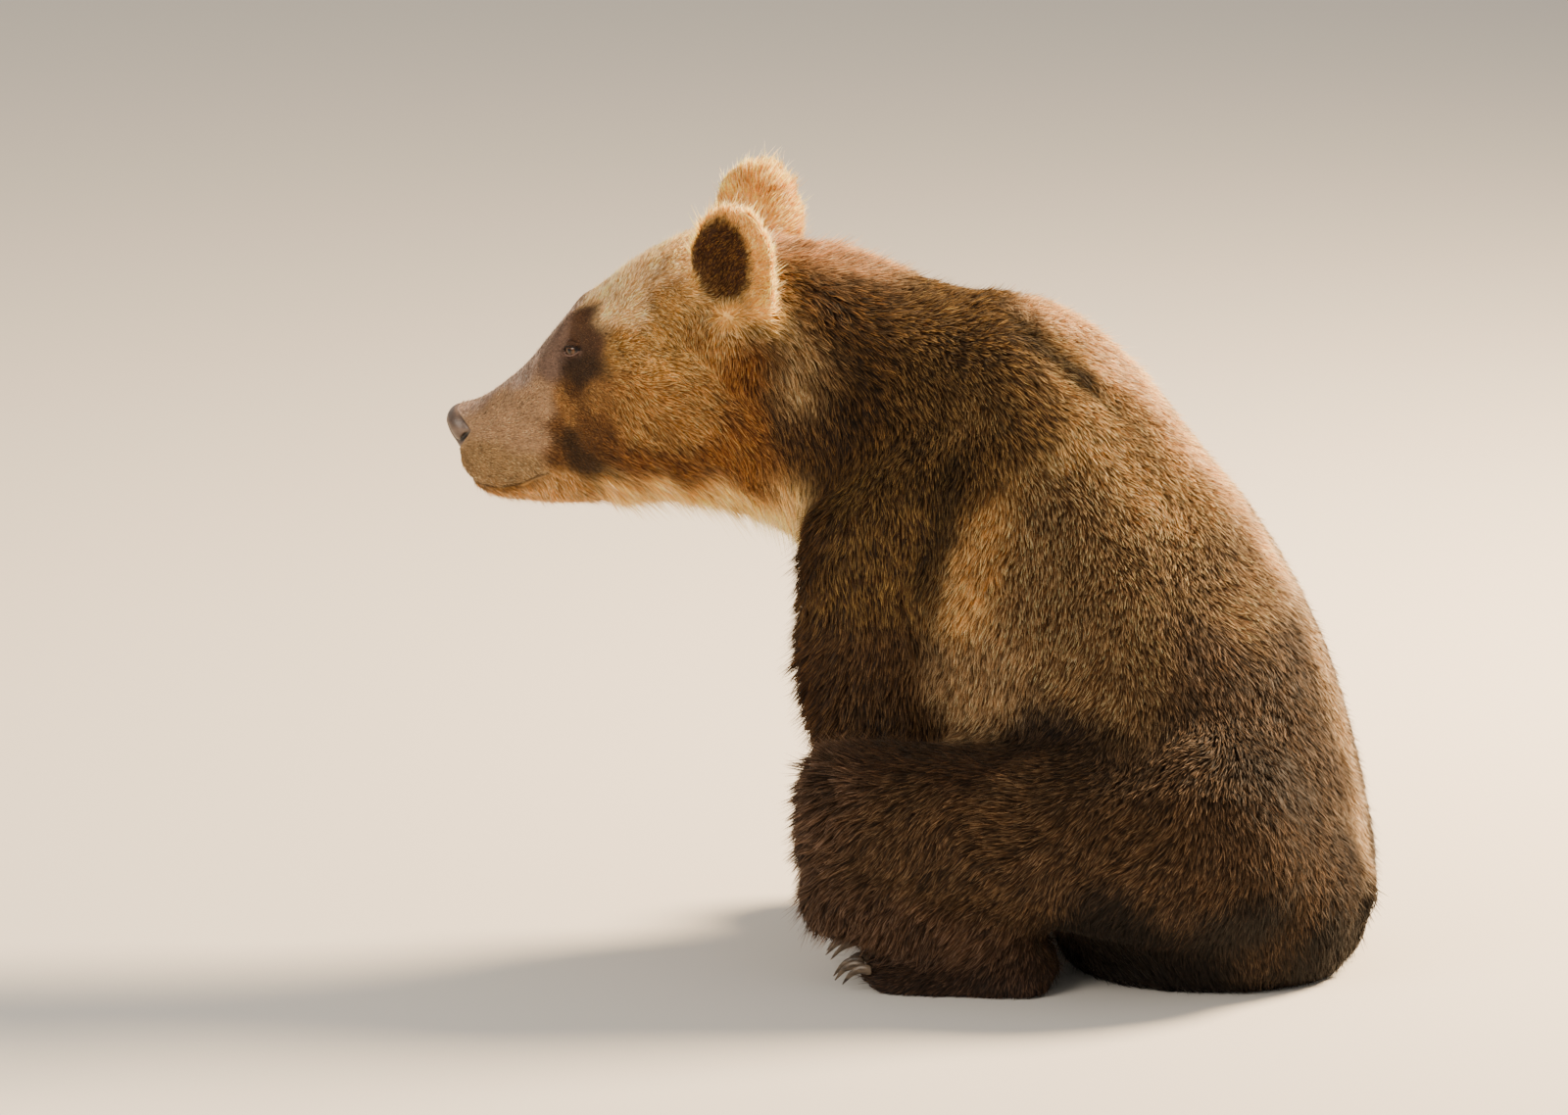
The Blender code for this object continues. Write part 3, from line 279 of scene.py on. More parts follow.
def linear(code):
    """The linear red, green and blue of an sRGB hex colour."""
    values = [int(code[i:i + 2], 16) / 255 for i in (1, 3, 5)]
    return [v / 12.92 if v <= 0.04045 else ((v + 0.055) / 1.055) ** 2.4 for v in values]


def unit(vectors):
    length = np.linalg.norm(vectors, axis=-1, keepdims=True)
    return vectors / np.maximum(length, 1e-12)


def left_half(points):
    """The points with those of the right half mirrored to the left, whose x is over 0."""
    return np.stack([np.abs(points[:, 0]), points[:, 1], points[:, 2]], axis=1)


def half_signs(points):
    """Rows of 1, 1, 1 on the left half and -1, 1, 1 on the right."""
    return np.where(points[:, 0] < 0, -1.0, 1.0)[:, None] * [1, 0, 0] + [0, 1, 1]


def bell(distance, reach):
    return np.exp(-(distance / reach) ** 2)


def fade(value, low, high):
    t = np.clip((value - low) / (high - low), 0, 1)
    return t * t * (3 - 2 * t)


def swung(a, b, angle):
    """Two coordinates turned by an angle in their plane."""
    return a * math.cos(angle) - b * math.sin(angle), b * math.cos(angle) + a * math.sin(angle)


def head_turned(points, pivot=HEAD_PIVOT):
    """From a head that looks straight ahead to this one, which is turned and tipped."""
    x, y, z = (points - pivot).T
    x, z = swung(x, z, -HEAD_ROLL)
    x, y = swung(x, y, HEAD_YAW)
    return np.stack([x, y, z], axis=1) + pivot


def head_straight(points, pivot=HEAD_PIVOT):
    """The way back: from the turned head to one that looks straight ahead."""
    x, y, z = (points - pivot).T
    x, y = swung(x, y, -HEAD_YAW)
    x, z = swung(x, z, HEAD_ROLL)
    return np.stack([x, y, z], axis=1) + pivot


def ripple(points, size, seed):
    """A smooth field from about -1 to 1 whose patches are about this size."""
    wave_count, highest = 14, 3.8
    waves = np.random.default_rng(seed)
    total = np.zeros(len(points))
    for _ in range(wave_count):
        way = unit(waves.normal(size=3)) * waves.uniform(0.6, 1.5) * math.pi / size
        total += np.sin(points @ way + waves.uniform(0, 2 * math.pi))
    return total / highest


def mesh_arrays(mesh):
    """Vertices, edges and normals of a mesh as arrays."""
    points = np.empty(len(mesh.vertices) * 3)
    mesh.vertices.foreach_get("co", points)
    edges = np.empty(len(mesh.edges) * 2, np.int64)
    mesh.edges.foreach_get("vertices", edges)
    normals = np.empty(len(mesh.vertices) * 3, np.float32)
    mesh.vertices.foreach_get("normal", normals)
    return points.reshape(-1, 3), edges.reshape(-1, 2), normals.reshape(-1, 3).astype(float)


def move_vertices(mesh, points):
    mesh.vertices.foreach_set("co", points.astype(np.float32).ravel())
    mesh.update()


def relaxed(values, edges, share, rounds):
    """Each vertex's values drawn towards the mean of its neighbours', again and again."""
    count = np.bincount(edges.ravel(), minlength=len(values))[:, None]
    share = np.broadcast_to(np.asarray(share, float), (len(values),))[:, None]
    values = values.astype(float)
    for _ in range(rounds):
        total = np.stack([
            np.bincount(edges[:, 0], column[edges[:, 1]], len(values))
            + np.bincount(edges[:, 1], column[edges[:, 0]], len(values))
            for column in values.T], axis=1)
        values = values + share * (total / np.maximum(count, 1) - values)
    return values


# ---------------------------------------------------------------- the skin

def flesh_hull():
    """All the flesh solids in one object, each swollen by under a millimetre so that they join."""
    whole = bmesh.new()
    for name in [*sum(FLESH.values(), []), "nose", "left_eye", "right_eye"]:
        part = bmesh.new()
        part.from_mesh(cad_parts[name].data)
        bmesh.ops.remove_doubles(part, verts=part.verts, dist=2e-6)
        part.normal_update()
        moved = {v: whole.verts.new(v.co + v.normal * SEAM_SWELL) for v in part.verts}
        for face in part.faces:
            whole.faces.new([moved[v] for v in face.verts])
        part.free()
    mesh = bpy.data.meshes.new("flesh")
    whole.to_mesh(mesh)
    whole.free()
    hull = bpy.data.objects.new("flesh", mesh)
    bpy.context.scene.collection.objects.link(hull)
    return hull


def wrapped(hull):
    """One closed net of even quads over the hull, in place of the hull."""
    net = hull.modifiers.new("wrap", "REMESH")
    net.mode = "VOXEL"
    net.voxel_size = SKIN_GRID
    net.use_smooth_shade = True
    graph = bpy.context.evaluated_depsgraph_get()
    mesh = bpy.data.meshes.new_from_object(hull.evaluated_get(graph))
    bpy.data.objects.remove(hull)
    net = bmesh.new()
    net.from_mesh(mesh)
    left = set(net.verts)
    islands = []
    while left:
        island, edge_of = set(), [left.pop()]
        while edge_of:
            vertex = edge_of.pop()
            island.add(vertex)
            for edge in vertex.link_edges:
                other = edge.other_vert(vertex)
                if other in left:
                    left.discard(other)
                    edge_of.append(other)
        islands.append(island)
    islands.sort(key=len)
    for island in islands[:-1]:
        bmesh.ops.delete(net, geom=list(island), context="VERTS")
    net.to_mesh(mesh)
    net.free()
    return mesh


def zone_shares(points, edges, rounds):
    """How much of each zone every vertex belongs to, soft across the seams."""
    corners, faces, zone_of = [], [], []
    for number, names in enumerate(FLESH.values()):
        for name in names:
            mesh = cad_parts[name].data
            start = len(corners)
            corners += [v.co.copy() for v in mesh.vertices]
            faces += [[start + i for i in p.vertices] for p in mesh.polygons]
            zone_of += [number] * len(mesh.polygons)
    tree = BVHTree.FromPolygons(corners, faces)
    nearest = [zone_of[tree.find_nearest(Vector(p))[2]] for p in points]
    return relaxed(np.eye(len(ZONES))[nearest], edges, 0.5, rounds)


def soft_pick(points, places, blur):
    """For each point the share of each place: the near ones win, and they fade into each other."""
    spots = np.array([spot[:3] for spot in places], float) / 1000
    spread = ((points[:, None, :] - spots[None]) ** 2).sum(axis=2)
    shares = 1 / (spread + blur ** 2) ** 3
    return shares / shares.sum(axis=1, keepdims=True)


def coat_row(name):
    length, width, depth, spacing, gather, stand, root, middle, tip = COATS[name]
    sizes = [length / 1000, width / 1000, depth / 1000, spacing / 1000, gather, stand]
    return np.array(sizes + linear(root) + linear(middle) + linear(tip))


def in_ear_cup(straight):
    """1 in the dark oval of the ear's cup, 0 on its rim and beyond."""
    arm = straight - EAR_PLACE
    along, up = arm @ EAR_ALONG, arm[:, 2]
    middle, half, rise, half_rise = EAR_CUP
    return fade(((along - middle) / half) ** 2 + ((up - rise) / half_rise) ** 2, 1.25, 0.75)


def ear_values(straight, normals):
    """In the cup of the ear the hair is dark and short; behind it and along its rim it is golden, partly as
    the hair's own colour and partly as painted glow of light through the thin ear.
    """
    cup = (in_ear_cup(straight) * fade(normals @ EAR_CUP_FACES, -0.15, 0.2))[:, None]
    values = cup * coat_row("ear_cup") + (1 - cup) * coat_row("ear_back")
    arm = straight - EAR_PLACE
    outward = unit(EAR_ALONG * (arm @ EAR_ALONG)[:, None] + [0, 0, 1] * np.maximum(arm[:, [2]] - 0.05, 0))
    way = unit(0.8 * outward + np.array([0.05, 0.15, 0.55]))
    return values, unit(cup * np.array([0.2, 0.35, 0.6]) + (1 - cup) * way)


def coat_fields(points, normals, shares):
    """Each vertex's coat values, see COATS, and the way its hair is combed."""
    values = np.zeros((len(points), 15))
    comb = np.zeros((len(points), 3))
    side = half_signs(points)
    straight = head_straight(points)
    straight_normals = head_straight(normals, np.zeros(3))
    head_side = half_signs(straight)
    for number, zone in enumerate(ZONES):
        here = np.flatnonzero(shares[:, number] > 0.004)
        share = shares[here, number][:, None]
        if zone == "ear":
            found, way = ear_values((straight * head_side)[here], (straight_normals * head_side)[here])
            way = head_turned(way * head_side[here], np.zeros(3))
        else:
            on_head = zone == "head"
            spots = (straight * head_side if on_head else points * side)[here]
            picks = soft_pick(spots, PLACES[zone], 0.010 if on_head else 0.030)
            found = picks @ np.array([coat_row(spot[6]) for spot in PLACES[zone]])
            way = picks @ unit(np.array([spot[3:6] for spot in PLACES[zone]], float))
            way = head_turned(way * head_side[here], np.zeros(3)) if on_head else way * side[here]
        values[here] += share * found
        comb[here] += share * way
    values /= shares.sum(axis=1, keepdims=True)
    return values, comb


def combed(comb, normals, edges):
    """The combing laid into the skin, and evened out along it."""
    for _ in range(4):
        comb = comb - normals * (comb * normals).sum(axis=1, keepdims=True)
        comb = relaxed(unit(comb), edges, 0.5, 3)
    comb = comb - normals * (comb * normals).sum(axis=1, keepdims=True)
    return unit(comb)


def on_line(points, line):
    """Each point's distance to a broken line, and how far it lies above it."""
    best = np.full(len(points), 1e9)
    above = np.zeros(len(points))
    for start, end in zip(line[:-1], line[1:]):
        start, end = np.array(start), np.array(end)
        along = end - start
        t = np.clip((points - start) @ along / (along @ along), 0, 1)[:, None]
        off = points - start - t * along
        distance = np.linalg.norm(off, axis=1)
        nearer = distance < best
        best = np.where(nearer, distance, best)
        above = np.where(nearer, off[:, -1], above)
    return best, above


# Forms of the head under its coat: place, reach and how far the skin swells there, in metres.
HEAD_FORMS = [
    ((0.040, -0.357, 0.682), (0.020, 0.022, 0.010), 0.0035),
    ((0.049, -0.371, 0.653), (0.024, 0.018, 0.017), -0.0040),
    ((0.055, -0.388, 0.622), (0.018, 0.022, 0.014), 0.0012),
    ((0.040, -0.445, 0.535), (0.016, 0.028, 0.020), 0.0022),
    ((0.000, -0.350, 0.700), (0.009, 0.050, 0.030), -0.0022),
    ((0.085, -0.310, 0.600), (0.030, 0.040, 0.030), 0.0030),
]
# Folds of the body: the line they follow on the left half, their reach and their depth.
BODY_FOLDS = [
    ([(0.040, 0.105, 0.700), (0.060, 0.135, 0.684), (0.092, 0.186, 0.642), (0.082, 0.236, 0.608)],
     0.014, 0.012),
    ([(0.172, 0.075, 0.560), (0.172, 0.070, 0.480), (0.165, 0.062, 0.400), (0.158, 0.055, 0.330)],
     0.014, 0.006),
    ([(0.165, 0.055, 0.272), (0.200, 0.130, 0.272), (0.215, 0.220, 0.275)], 0.012, 0.005),
]


def sculpt_body(points, normals):
    """The folds and furrows that the coat sinks into."""
    mirrored = left_half(points)
    for line, reach, depth in BODY_FOLDS:
        distance, _ = on_line(mirrored, line)
        points = points - normals * (depth * bell(distance, reach))[:, None]
    return points


def sculpt_face(points, normals):
    """Brow, eye sockets, whisker pads, cheek bones and the line of the lips."""
    straight = head_straight(points)
    mirrored = left_half(straight)
    push = np.zeros(len(points))
    for place, reach, amount in HEAD_FORMS:
        push += amount * np.exp(-(((mirrored - place) / reach) ** 2).sum(axis=1))
    lip, above = on_line(straight[:, 1:], LIP_LINE)
    near = (straight[:, 1] < -0.36) & (straight[:, 2] < LIPS_TOP)
    push += near * (-0.0026 * bell(lip, 0.0022) + 0.0018 * bell(above - 0.007, 0.005) * bell(lip, 0.013))
    below_nose = (straight[:, 1] < -0.47) & (straight[:, 2] < 0.535) & (straight[:, 2] > 0.505)
    push += below_nose * -0.0020 * bell(straight[:, 0], 0.0018)
    return points + normals * push[:, None]


# Sections of the muzzle's end from its root to the tip of the nose: y, top, bottom, half width.
MUZZLE = np.array([
    (-0.4000, 0.6370, 0.4740, 0.0600),
    (-0.4200, 0.6190, 0.4745, 0.0550),
    (-0.4400, 0.6025, 0.4755, 0.0500),
    (-0.4600, 0.5870, 0.4800, 0.0450),
    (-0.4700, 0.5812, 0.4850, 0.0420),
    (-0.4800, 0.5767, 0.4930, 0.0380),
    (-0.4860, 0.5755, 0.5010, 0.0345),
    (-0.4895, 0.5746, 0.5110, 0.0318),
    (-0.4920, 0.5736, 0.5270, 0.0300),
    (-0.4955, 0.5728, 0.5350, 0.0285),
    (-0.5000, 0.5712, 0.5410, 0.0260),
    (-0.5040, 0.5685, 0.5470, 0.0218),
    (-0.5065, 0.5650, 0.5515, 0.0160),
    (-0.5080, 0.5600, 0.5560, 0.0070),
])
MUZZLE_CORE = np.array([0.0, -0.4520, 0.5330])
# How far back the nose pad reaches at each height: z, y.
PAD_BACK = [(0.526, -0.5020), (0.530, -0.4945), (0.540, -0.4868), (0.548, -0.4808), (0.5545, -0.4772),
            (0.560, -0.4822), (0.566, -0.4888), (0.570, -0.4935), (0.573, -0.4985), (0.580, -0.5030)]
# The nostril's groove from the front round to the side: place, reach and depth, in metres.
NOSTRIL = np.array([
    (0.0095, -0.5065, 0.5590, 0.0028, 0.0030),
    (0.0130, -0.5050, 0.5560, 0.0040, 0.0075),
    (0.0170, -0.5025, 0.5520, 0.0036, 0.0065),
    (0.0215, -0.4990, 0.5450, 0.0026, 0.0040),
    (0.0245, -0.4955, 0.5400, 0.0017, 0.0028),
    (0.0265, -0.4905, 0.5425, 0.0020, 0.0038),
    (0.0280, -0.4862, 0.5465, 0.0028, 0.0068),
    (0.0285, -0.4838, 0.5492, 0.0030, 0.0070),
    (0.0290, -0.4812, 0.5520, 0.0021, 0.0042),
    (0.0290, -0.4785, 0.5550, 0.0013, 0.0020),
])


def muzzle_mould():
    """The true shape of the muzzle's end and nose, which the skin and the nose pad are pressed to."""
    rows = np.arange(len(MUZZLE))
    fine = np.linspace(0, rows[-1], 90)
    smooth = np.stack([np.interp(fine, rows, column) for column in MUZZLE.T], axis=1)
    for _ in range(5):
        smooth[1:-1] = 0.5 * smooth[1:-1] + 0.25 * (smooth[:-2] + smooth[2:])
    turn = np.linspace(0, 2 * math.pi, 81)[:-1]
    y, top, bottom, half = (smooth[:, [i]] for i in range(4))
    sine, cosine = (np.sign(wave) * np.abs(wave) ** 0.87 for wave in (np.sin(turn), np.cos(turn)))
    rings = np.stack([half * cosine, y + 0 * turn, (top + bottom) / 2 + (top - bottom) / 2 * sine], axis=2)
    count = len(turn)
    faces = [(start + k, start + (k + 1) % count, start + count + (k + 1) % count, start + count + k)
             for start in range(0, (len(fine) - 1) * count, count) for k in range(count)]
    faces.append(tuple(range(len(fine) * count - count, len(fine) * count)))
    return BVHTree.FromPolygons(rings.reshape(-1, 3).tolist(), faces)


def pressed(points, core, mould):
    """The points moved along their lines from the core to the mould's surface."""
    moved = points.copy()
    for i, p in enumerate(points):
        hit = mould.ray_cast(Vector(core), Vector(p - core))[0]
        if hit is not None:
            moved[i] = hit
    return moved


def nostril_depth(points):
    """How deep the nostril's groove is cut at each point, seen from the middle of the nose."""
    steps = np.linspace(0, len(NOSTRIL) - 1, 36)
    path = np.stack([np.interp(steps, np.arange(len(NOSTRIL)), column) for column in NOSTRIL.T], axis=1)
    ways = unit(left_half(points) - NOSE_CORE)
    depth = np.zeros(len(points))
    for *place, reach, amount in path:
        arm = np.array(place) - NOSE_CORE
        gap = np.linalg.norm(ways - unit(arm), axis=1) * np.linalg.norm(arm)
        depth = np.maximum(depth, amount * bell(gap, reach))
    return depth


def inside_pad(points):
    """How far each point lies inside the nose pad's back edge, in metres."""
    heights, backs = zip(*PAD_BACK)
    return np.interp(points[:, 2], heights, backs) - points[:, 1]


def mould_muzzle(points, mould):
    """The skin of the muzzle's end pressed to its true shape, hollow under the nose pad."""
    straight = head_straight(points)
    share = fade(straight[:, 1], -0.425, -0.450)
    near = np.flatnonzero(share > 0)
    target = pressed(straight[near], MUZZLE_CORE, mould)
    straight[near] += share[near][:, None] * (target - straight[near])
    front = (straight[:, 1] < -0.47) & (straight[:, 2] > 0.526)
    sink = (0.0065 * fade(inside_pad(straight), 0.0012, 0.0040) + nostril_depth(straight)) * front
    straight += unit(NOSE_CORE - straight) * sink[:, None]
    return head_turned(straight)


def eye_axes(side):
    """Out of the eye, along its opening from nose to ear, and up."""
    out = unit(EYE_GAZE * [side, 1, 1])
    along = unit(np.array([side * 0.50, 0.84, 0.06]))
    along = unit(along - out * (along @ out))
    return out, along, np.cross(out, along) * side


def seen_from_eye(straight, side):
    """Each point as the eyeball's middle sees it: distance, direction, and radians inside the lids."""
    out, along, up = eye_axes(side)
    arm = straight - EYE_PLACE * [side, 1, 1]
    reach = np.linalg.norm(arm, axis=1)
    way = arm / np.maximum(reach, 1e-9)[:, None]
    a = np.arctan2(way @ along, way @ out)
    b = np.arcsin(np.clip(way @ up, -1, 1)) - 0.10 * a
    round_off = np.clip(1 - (a / EYE_CORNER) ** 2, 0, 1)
    inside = np.minimum(0.33 * round_off ** 0.8 - b, b + 0.34 * round_off)
    inside = np.where(np.abs(a) < EYE_CORNER, inside, -np.hypot(np.abs(a) - EYE_CORNER, b))
    return reach, way, inside, b, way @ out


def lids(points):
    """The skin laid over the eyeballs, open in an almond whose edges stand a lid's thickness out."""
    straight = head_straight(points)
    for side in (1, -1):
        reach, way, inside, b, front = seen_from_eye(straight, side)
        edge = EYE_RADIUS + 0.0009 + 0.0011 * bell(inside + 0.10, 0.07) - 0.0005 * bell(inside + 0.30, 0.08)
        edge = edge + 0.0010 * bell(inside + 0.52, 0.12) * (b > 0)
        near = fade(inside, -0.85, -0.30) * (front > 0) * (reach < LIDS_END)
        new_reach = reach + near * (edge - reach)
        new_reach = np.where((front > -0.3) & (reach < LIDS_END), np.maximum(new_reach, edge), new_reach)
        open_share = fade(inside, 0.0, 0.06) * (front > 0) * (reach < LIDS_END)
        new_reach = new_reach + open_share * (EYE_RADIUS * 0.72 - new_reach)
        straight = EYE_PLACE * [side, 1, 1] + way * new_reach[:, None]
    return head_turned(straight)


def refine(mesh, chosen):
    """Halves the faces whose middle the rule picks."""
    net = bmesh.new()
    net.from_mesh(mesh)
    middles = np.array([f.calc_center_median() for f in net.faces])
    picked = chosen(head_straight(middles))
    edges = {e for f, yes in zip(net.faces, picked) if yes for e in f.edges}
    bmesh.ops.subdivide_edges(net, edges=list(edges), cuts=1, use_grid_fill=True)
    net.to_mesh(mesh)
    net.free()


def by_face(middles):
    return (middles[:, 1] < -0.31) & (middles[:, 2] > 0.44) & (np.abs(middles[:, 0]) < 0.13)


def by_lips_and_eyes(middles):
    mirrored = left_half(middles)
    eye = np.linalg.norm(mirrored - EYE_PLACE, axis=1) < LIDS_END
    lip = (on_line(middles[:, 1:], LIP_LINE)[0] < 0.006) & (middles[:, 1] < -0.36)
    nose = np.linalg.norm(mirrored - [0.012, -0.488, 0.555], axis=1) < 0.030
    return eye | lip | nose


def by_lids(middles):
    mirrored = left_half(middles)
    eye = np.linalg.norm(mirrored - EYE_PLACE, axis=1) < 0.0180
    return eye | ((nostril_depth(middles) > 0.0012) & (middles[:, 1] < -0.465))


def make_skin(mould):
    """The skin, under the coat by its depth, with the coat values of each of its vertices."""
    mesh = wrapped(flesh_hull())
    points, edges, _ = mesh_arrays(mesh)
    shares = zone_shares(points, edges, 16)
    at = {zone: shares[:, i] for i, zone in enumerate(ZONES)}
    seams = (at["trunk"] * (at["arm"] + at["neck"] + at["thigh"]) + at["neck"] * (at["arm"] + at["head"])
             + at["arm"] * at["foreleg"] + 0.5 * at["ear"] * at["head"])
    calm = np.clip(1 - at["head"] - at["forepaw"] - at["hindfoot"] - 0.6 * at["ear"], 0.08, 1)
    points = relaxed(points, edges, 0.5 * calm, 8)
    points = relaxed(points, edges, np.clip(3.2 * seams, 0, 0.5), 46)
    move_vertices(mesh, points)
    _, _, normals = mesh_arrays(mesh)
    points = sculpt_body(points, normals)
    values, _ = coat_fields(points, normals, shares)
    smooth_normals = unit(relaxed(normals, edges, 0.5, 6))
    depth = values[:, 2] * fade(points[:, 2], 0.004, 0.03)
    depth = np.where(at["ear"] > 0.3, np.minimum(depth, 0.0040), depth)
    points = points - smooth_normals * depth[:, None]
    points = relaxed(points, edges, 0.4 * calm, 4)
    points[:, 2] = np.maximum(points[:, 2], FLOOR_CLEAR)
    move_vertices(mesh, points)
    coarse = KDTree(len(points))
    for i, p in enumerate(points):
        coarse.insert(p, i)
    coarse.balance()
    refine(mesh, by_face)
    points, edges, normals = mesh_arrays(mesh)
    on_face = by_face(head_straight(points))
    points = relaxed(points, edges, 0.5 * on_face, 3)
    move_vertices(mesh, points)
    refine(mesh, by_lips_and_eyes)
    refine(mesh, by_lids)
    points, edges, normals = mesh_arrays(mesh)
    near_eye = by_lips_and_eyes(head_straight(points))
    points = relaxed(points, edges, 0.5 * near_eye, 6)
    points = relaxed(mould_muzzle(points, mould), edges, 0.3 * near_eye, 1)
    move_vertices(mesh, points)
    _, _, normals = mesh_arrays(mesh)
    points = lids(sculpt_face(points, normals))
    move_vertices(mesh, points)
    points, edges, normals = mesh_arrays(mesh)
    shares = shares[[coarse.find(p)[1] for p in points]]
    shares = relaxed(shares, edges, 0.5, 2)
    values, comb = coat_fields(points, normals, shares)
    values = with_fold_shade(points, values)
    comb = combed(comb, normals, edges)
    skin = bpy.data.objects.new("skin", mesh)
    bpy.context.scene.collection.objects.link(skin)
    return skin, {"points": points, "normals": normals, "shares": shares, "values": values, "comb": comb}


def unwrap(skin):
    """The skin's own unwrap, which places every lock's patch."""
    bpy.context.view_layer.objects.active = skin
    skin.select_set(True)
    bpy.ops.object.mode_set(mode="EDIT")
    bpy.ops.mesh.select_all(action="SELECT")
    bpy.ops.uv.smart_project(angle_limit=math.radians(60), island_margin=0.003)
    bpy.ops.object.mode_set(mode="OBJECT")
    skin.data.uv_layers.active.name = "OFBake"


def paint(mesh, colours):
    """A colour on each vertex, which the material reads as coat_colour."""
    layer = mesh.attributes.new("coat_colour", "FLOAT_COLOR", "POINT")
    full = np.ones((len(colours), 4), np.float32)
    full[:, :3] = np.clip(colours, 0, 1)
    layer.data.foreach_set("color", full.ravel())


# Painted shade in the folds and creases of the body, behind the head and down the furrows of the back:
# the line each follows on the left half, its reach, and how much it darkens (over 0) or lightens (under 0)
# the coat.
FOLD_SHADE_LINES = [
    ([(0.045, 0.105, 0.700), (0.068, 0.136, 0.681), (0.078, 0.168, 0.661), (0.084, 0.200, 0.637)],
     0.011, 0.86),
    ([(0.084, 0.200, 0.637), (0.073, 0.234, 0.610), (0.080, 0.275, 0.560), (0.085, 0.330, 0.490)],
     0.013, 0.35),
    ([(0.135, -0.060, 0.560), (0.140, -0.045, 0.620), (0.120, -0.050, 0.680)], 0.016, 0.35),
    ([(0.168, 0.078, 0.560), (0.165, 0.060, 0.470), (0.160, 0.052, 0.380), (0.152, 0.050, 0.300)],
     0.012, 0.55),
    ([(0.190, 0.070, 0.275), (0.205, 0.150, 0.280), (0.200, 0.240, 0.295)], 0.016, 0.25),
    ([(0.115, -0.160, 0.700), (0.122, -0.140, 0.670)], 0.012, 0.25),
]


def with_fold_shade(points, values):
    """The coat values with painted shade laid over their colours in the folds, and in the groove of the lips.
    """
    mirrored = left_half(points)
    tone = np.ones(len(points))
    for line, reach, amount in FOLD_SHADE_LINES:
        distance = np.maximum(on_line(mirrored, line)[0] - 0.009, 0)
        tone *= 1 - amount * bell(distance, reach)
    straight = head_straight(points)
    # painted shade in the groove where the lips meet: the hair darkened along the lip line
    lip, _ = on_line(straight[:, 1:], LIP_LINE)
    on_muzzle = fade(straight[:, 1], -0.395, -0.415) * (straight[:, 2] < LIPS_TOP)
    tone *= 1 - 0.55 * on_muzzle * bell(np.maximum(lip - 0.0008, 0), 0.0026)
    values[:, 6:15] *= tone[:, None]
    return values


def skin_colours(fields):
    """Under the coat the skin is the colour of the hair's lower half; lips are dark, and lids are dark, the
    upper lid partly as painted shadow.
    """
    values, points = fields["values"], fields["points"]
    base = 0.45 * values[:, 6:9] + 0.55 * values[:, 9:12]
    straight = head_straight(points)
    reach, _, inside, height, _ = seen_from_eye(left_half(straight), 1)
    # painted shade on the lids: dark above, partly as painted shadow under the brow, paler below; skin tucked
    # into the opening near black as painted shade
    lid = (fade(inside, -0.50, -0.12) * (reach < LID_SKIN_END))[:, None]
    lower = fade(height, -0.02, -0.12)[:, None]
    lid_colour_and_shade = np.array(linear("#1E130E")) * (1 - lower) + np.array(linear("#6B5348")) * lower
    lid_colour_and_shade = np.where(inside[:, None] > 0.0, linear("#120A08"), lid_colour_and_shade)
    base = base * (1 - lid) + lid_colour_and_shade * lid
    lip, _ = on_line(straight[:, 1:], LIP_LINE)
    lip = (0.75 * fade(lip, 0.0028, 0.0010) * (straight[:, 1] < -0.38) * (straight[:, 2] < LIPS_TOP))[:, None]
    base = base * (1 - lip) + np.array(linear("#2B1D18")) * lip
    return base * (1 + 0.10 * ripple(points, 0.02, 3))[:, None]


# ---------------------------------------------------------------- the coat

def skin_corners(mesh):
    """The skin's triangles, their corner vertices and the OFBake place of each corner."""
    mesh.calc_loop_triangles()
    count = len(mesh.loop_triangles)
    corners = np.empty(count * 3, np.int32)
    mesh.loop_triangles.foreach_get("vertices", corners)
    loops = np.empty(count * 3, np.int32)
    mesh.loop_triangles.foreach_get("loops", loops)
    places = np.empty(len(mesh.loops) * 2, np.float32)
    mesh.uv_layers["OFBake"].data.foreach_get("uv", places)
    return corners.reshape(-1, 3), places.reshape(-1, 2)[loops.reshape(-1, 3)]


def hairless(points):
    """True on the lids' edges, in the groove of the lips and on the nose pad."""
    straight = head_straight(points)
    reach, _, inside, _, _ = seen_from_eye(left_half(straight), 1)
    eye = (inside > -0.16) & (reach < LID_SKIN_END)
    lip = on_line(straight[:, 1:], LIP_LINE)[0] < 0.0012
    lip &= (straight[:, 1] < -0.40) & (straight[:, 2] < LIPS_TOP)
    nose = (inside_pad(straight) > 0.0004) & (straight[:, 2] > 0.529) & (straight[:, 1] < -0.47)
    return eye | lip | nose


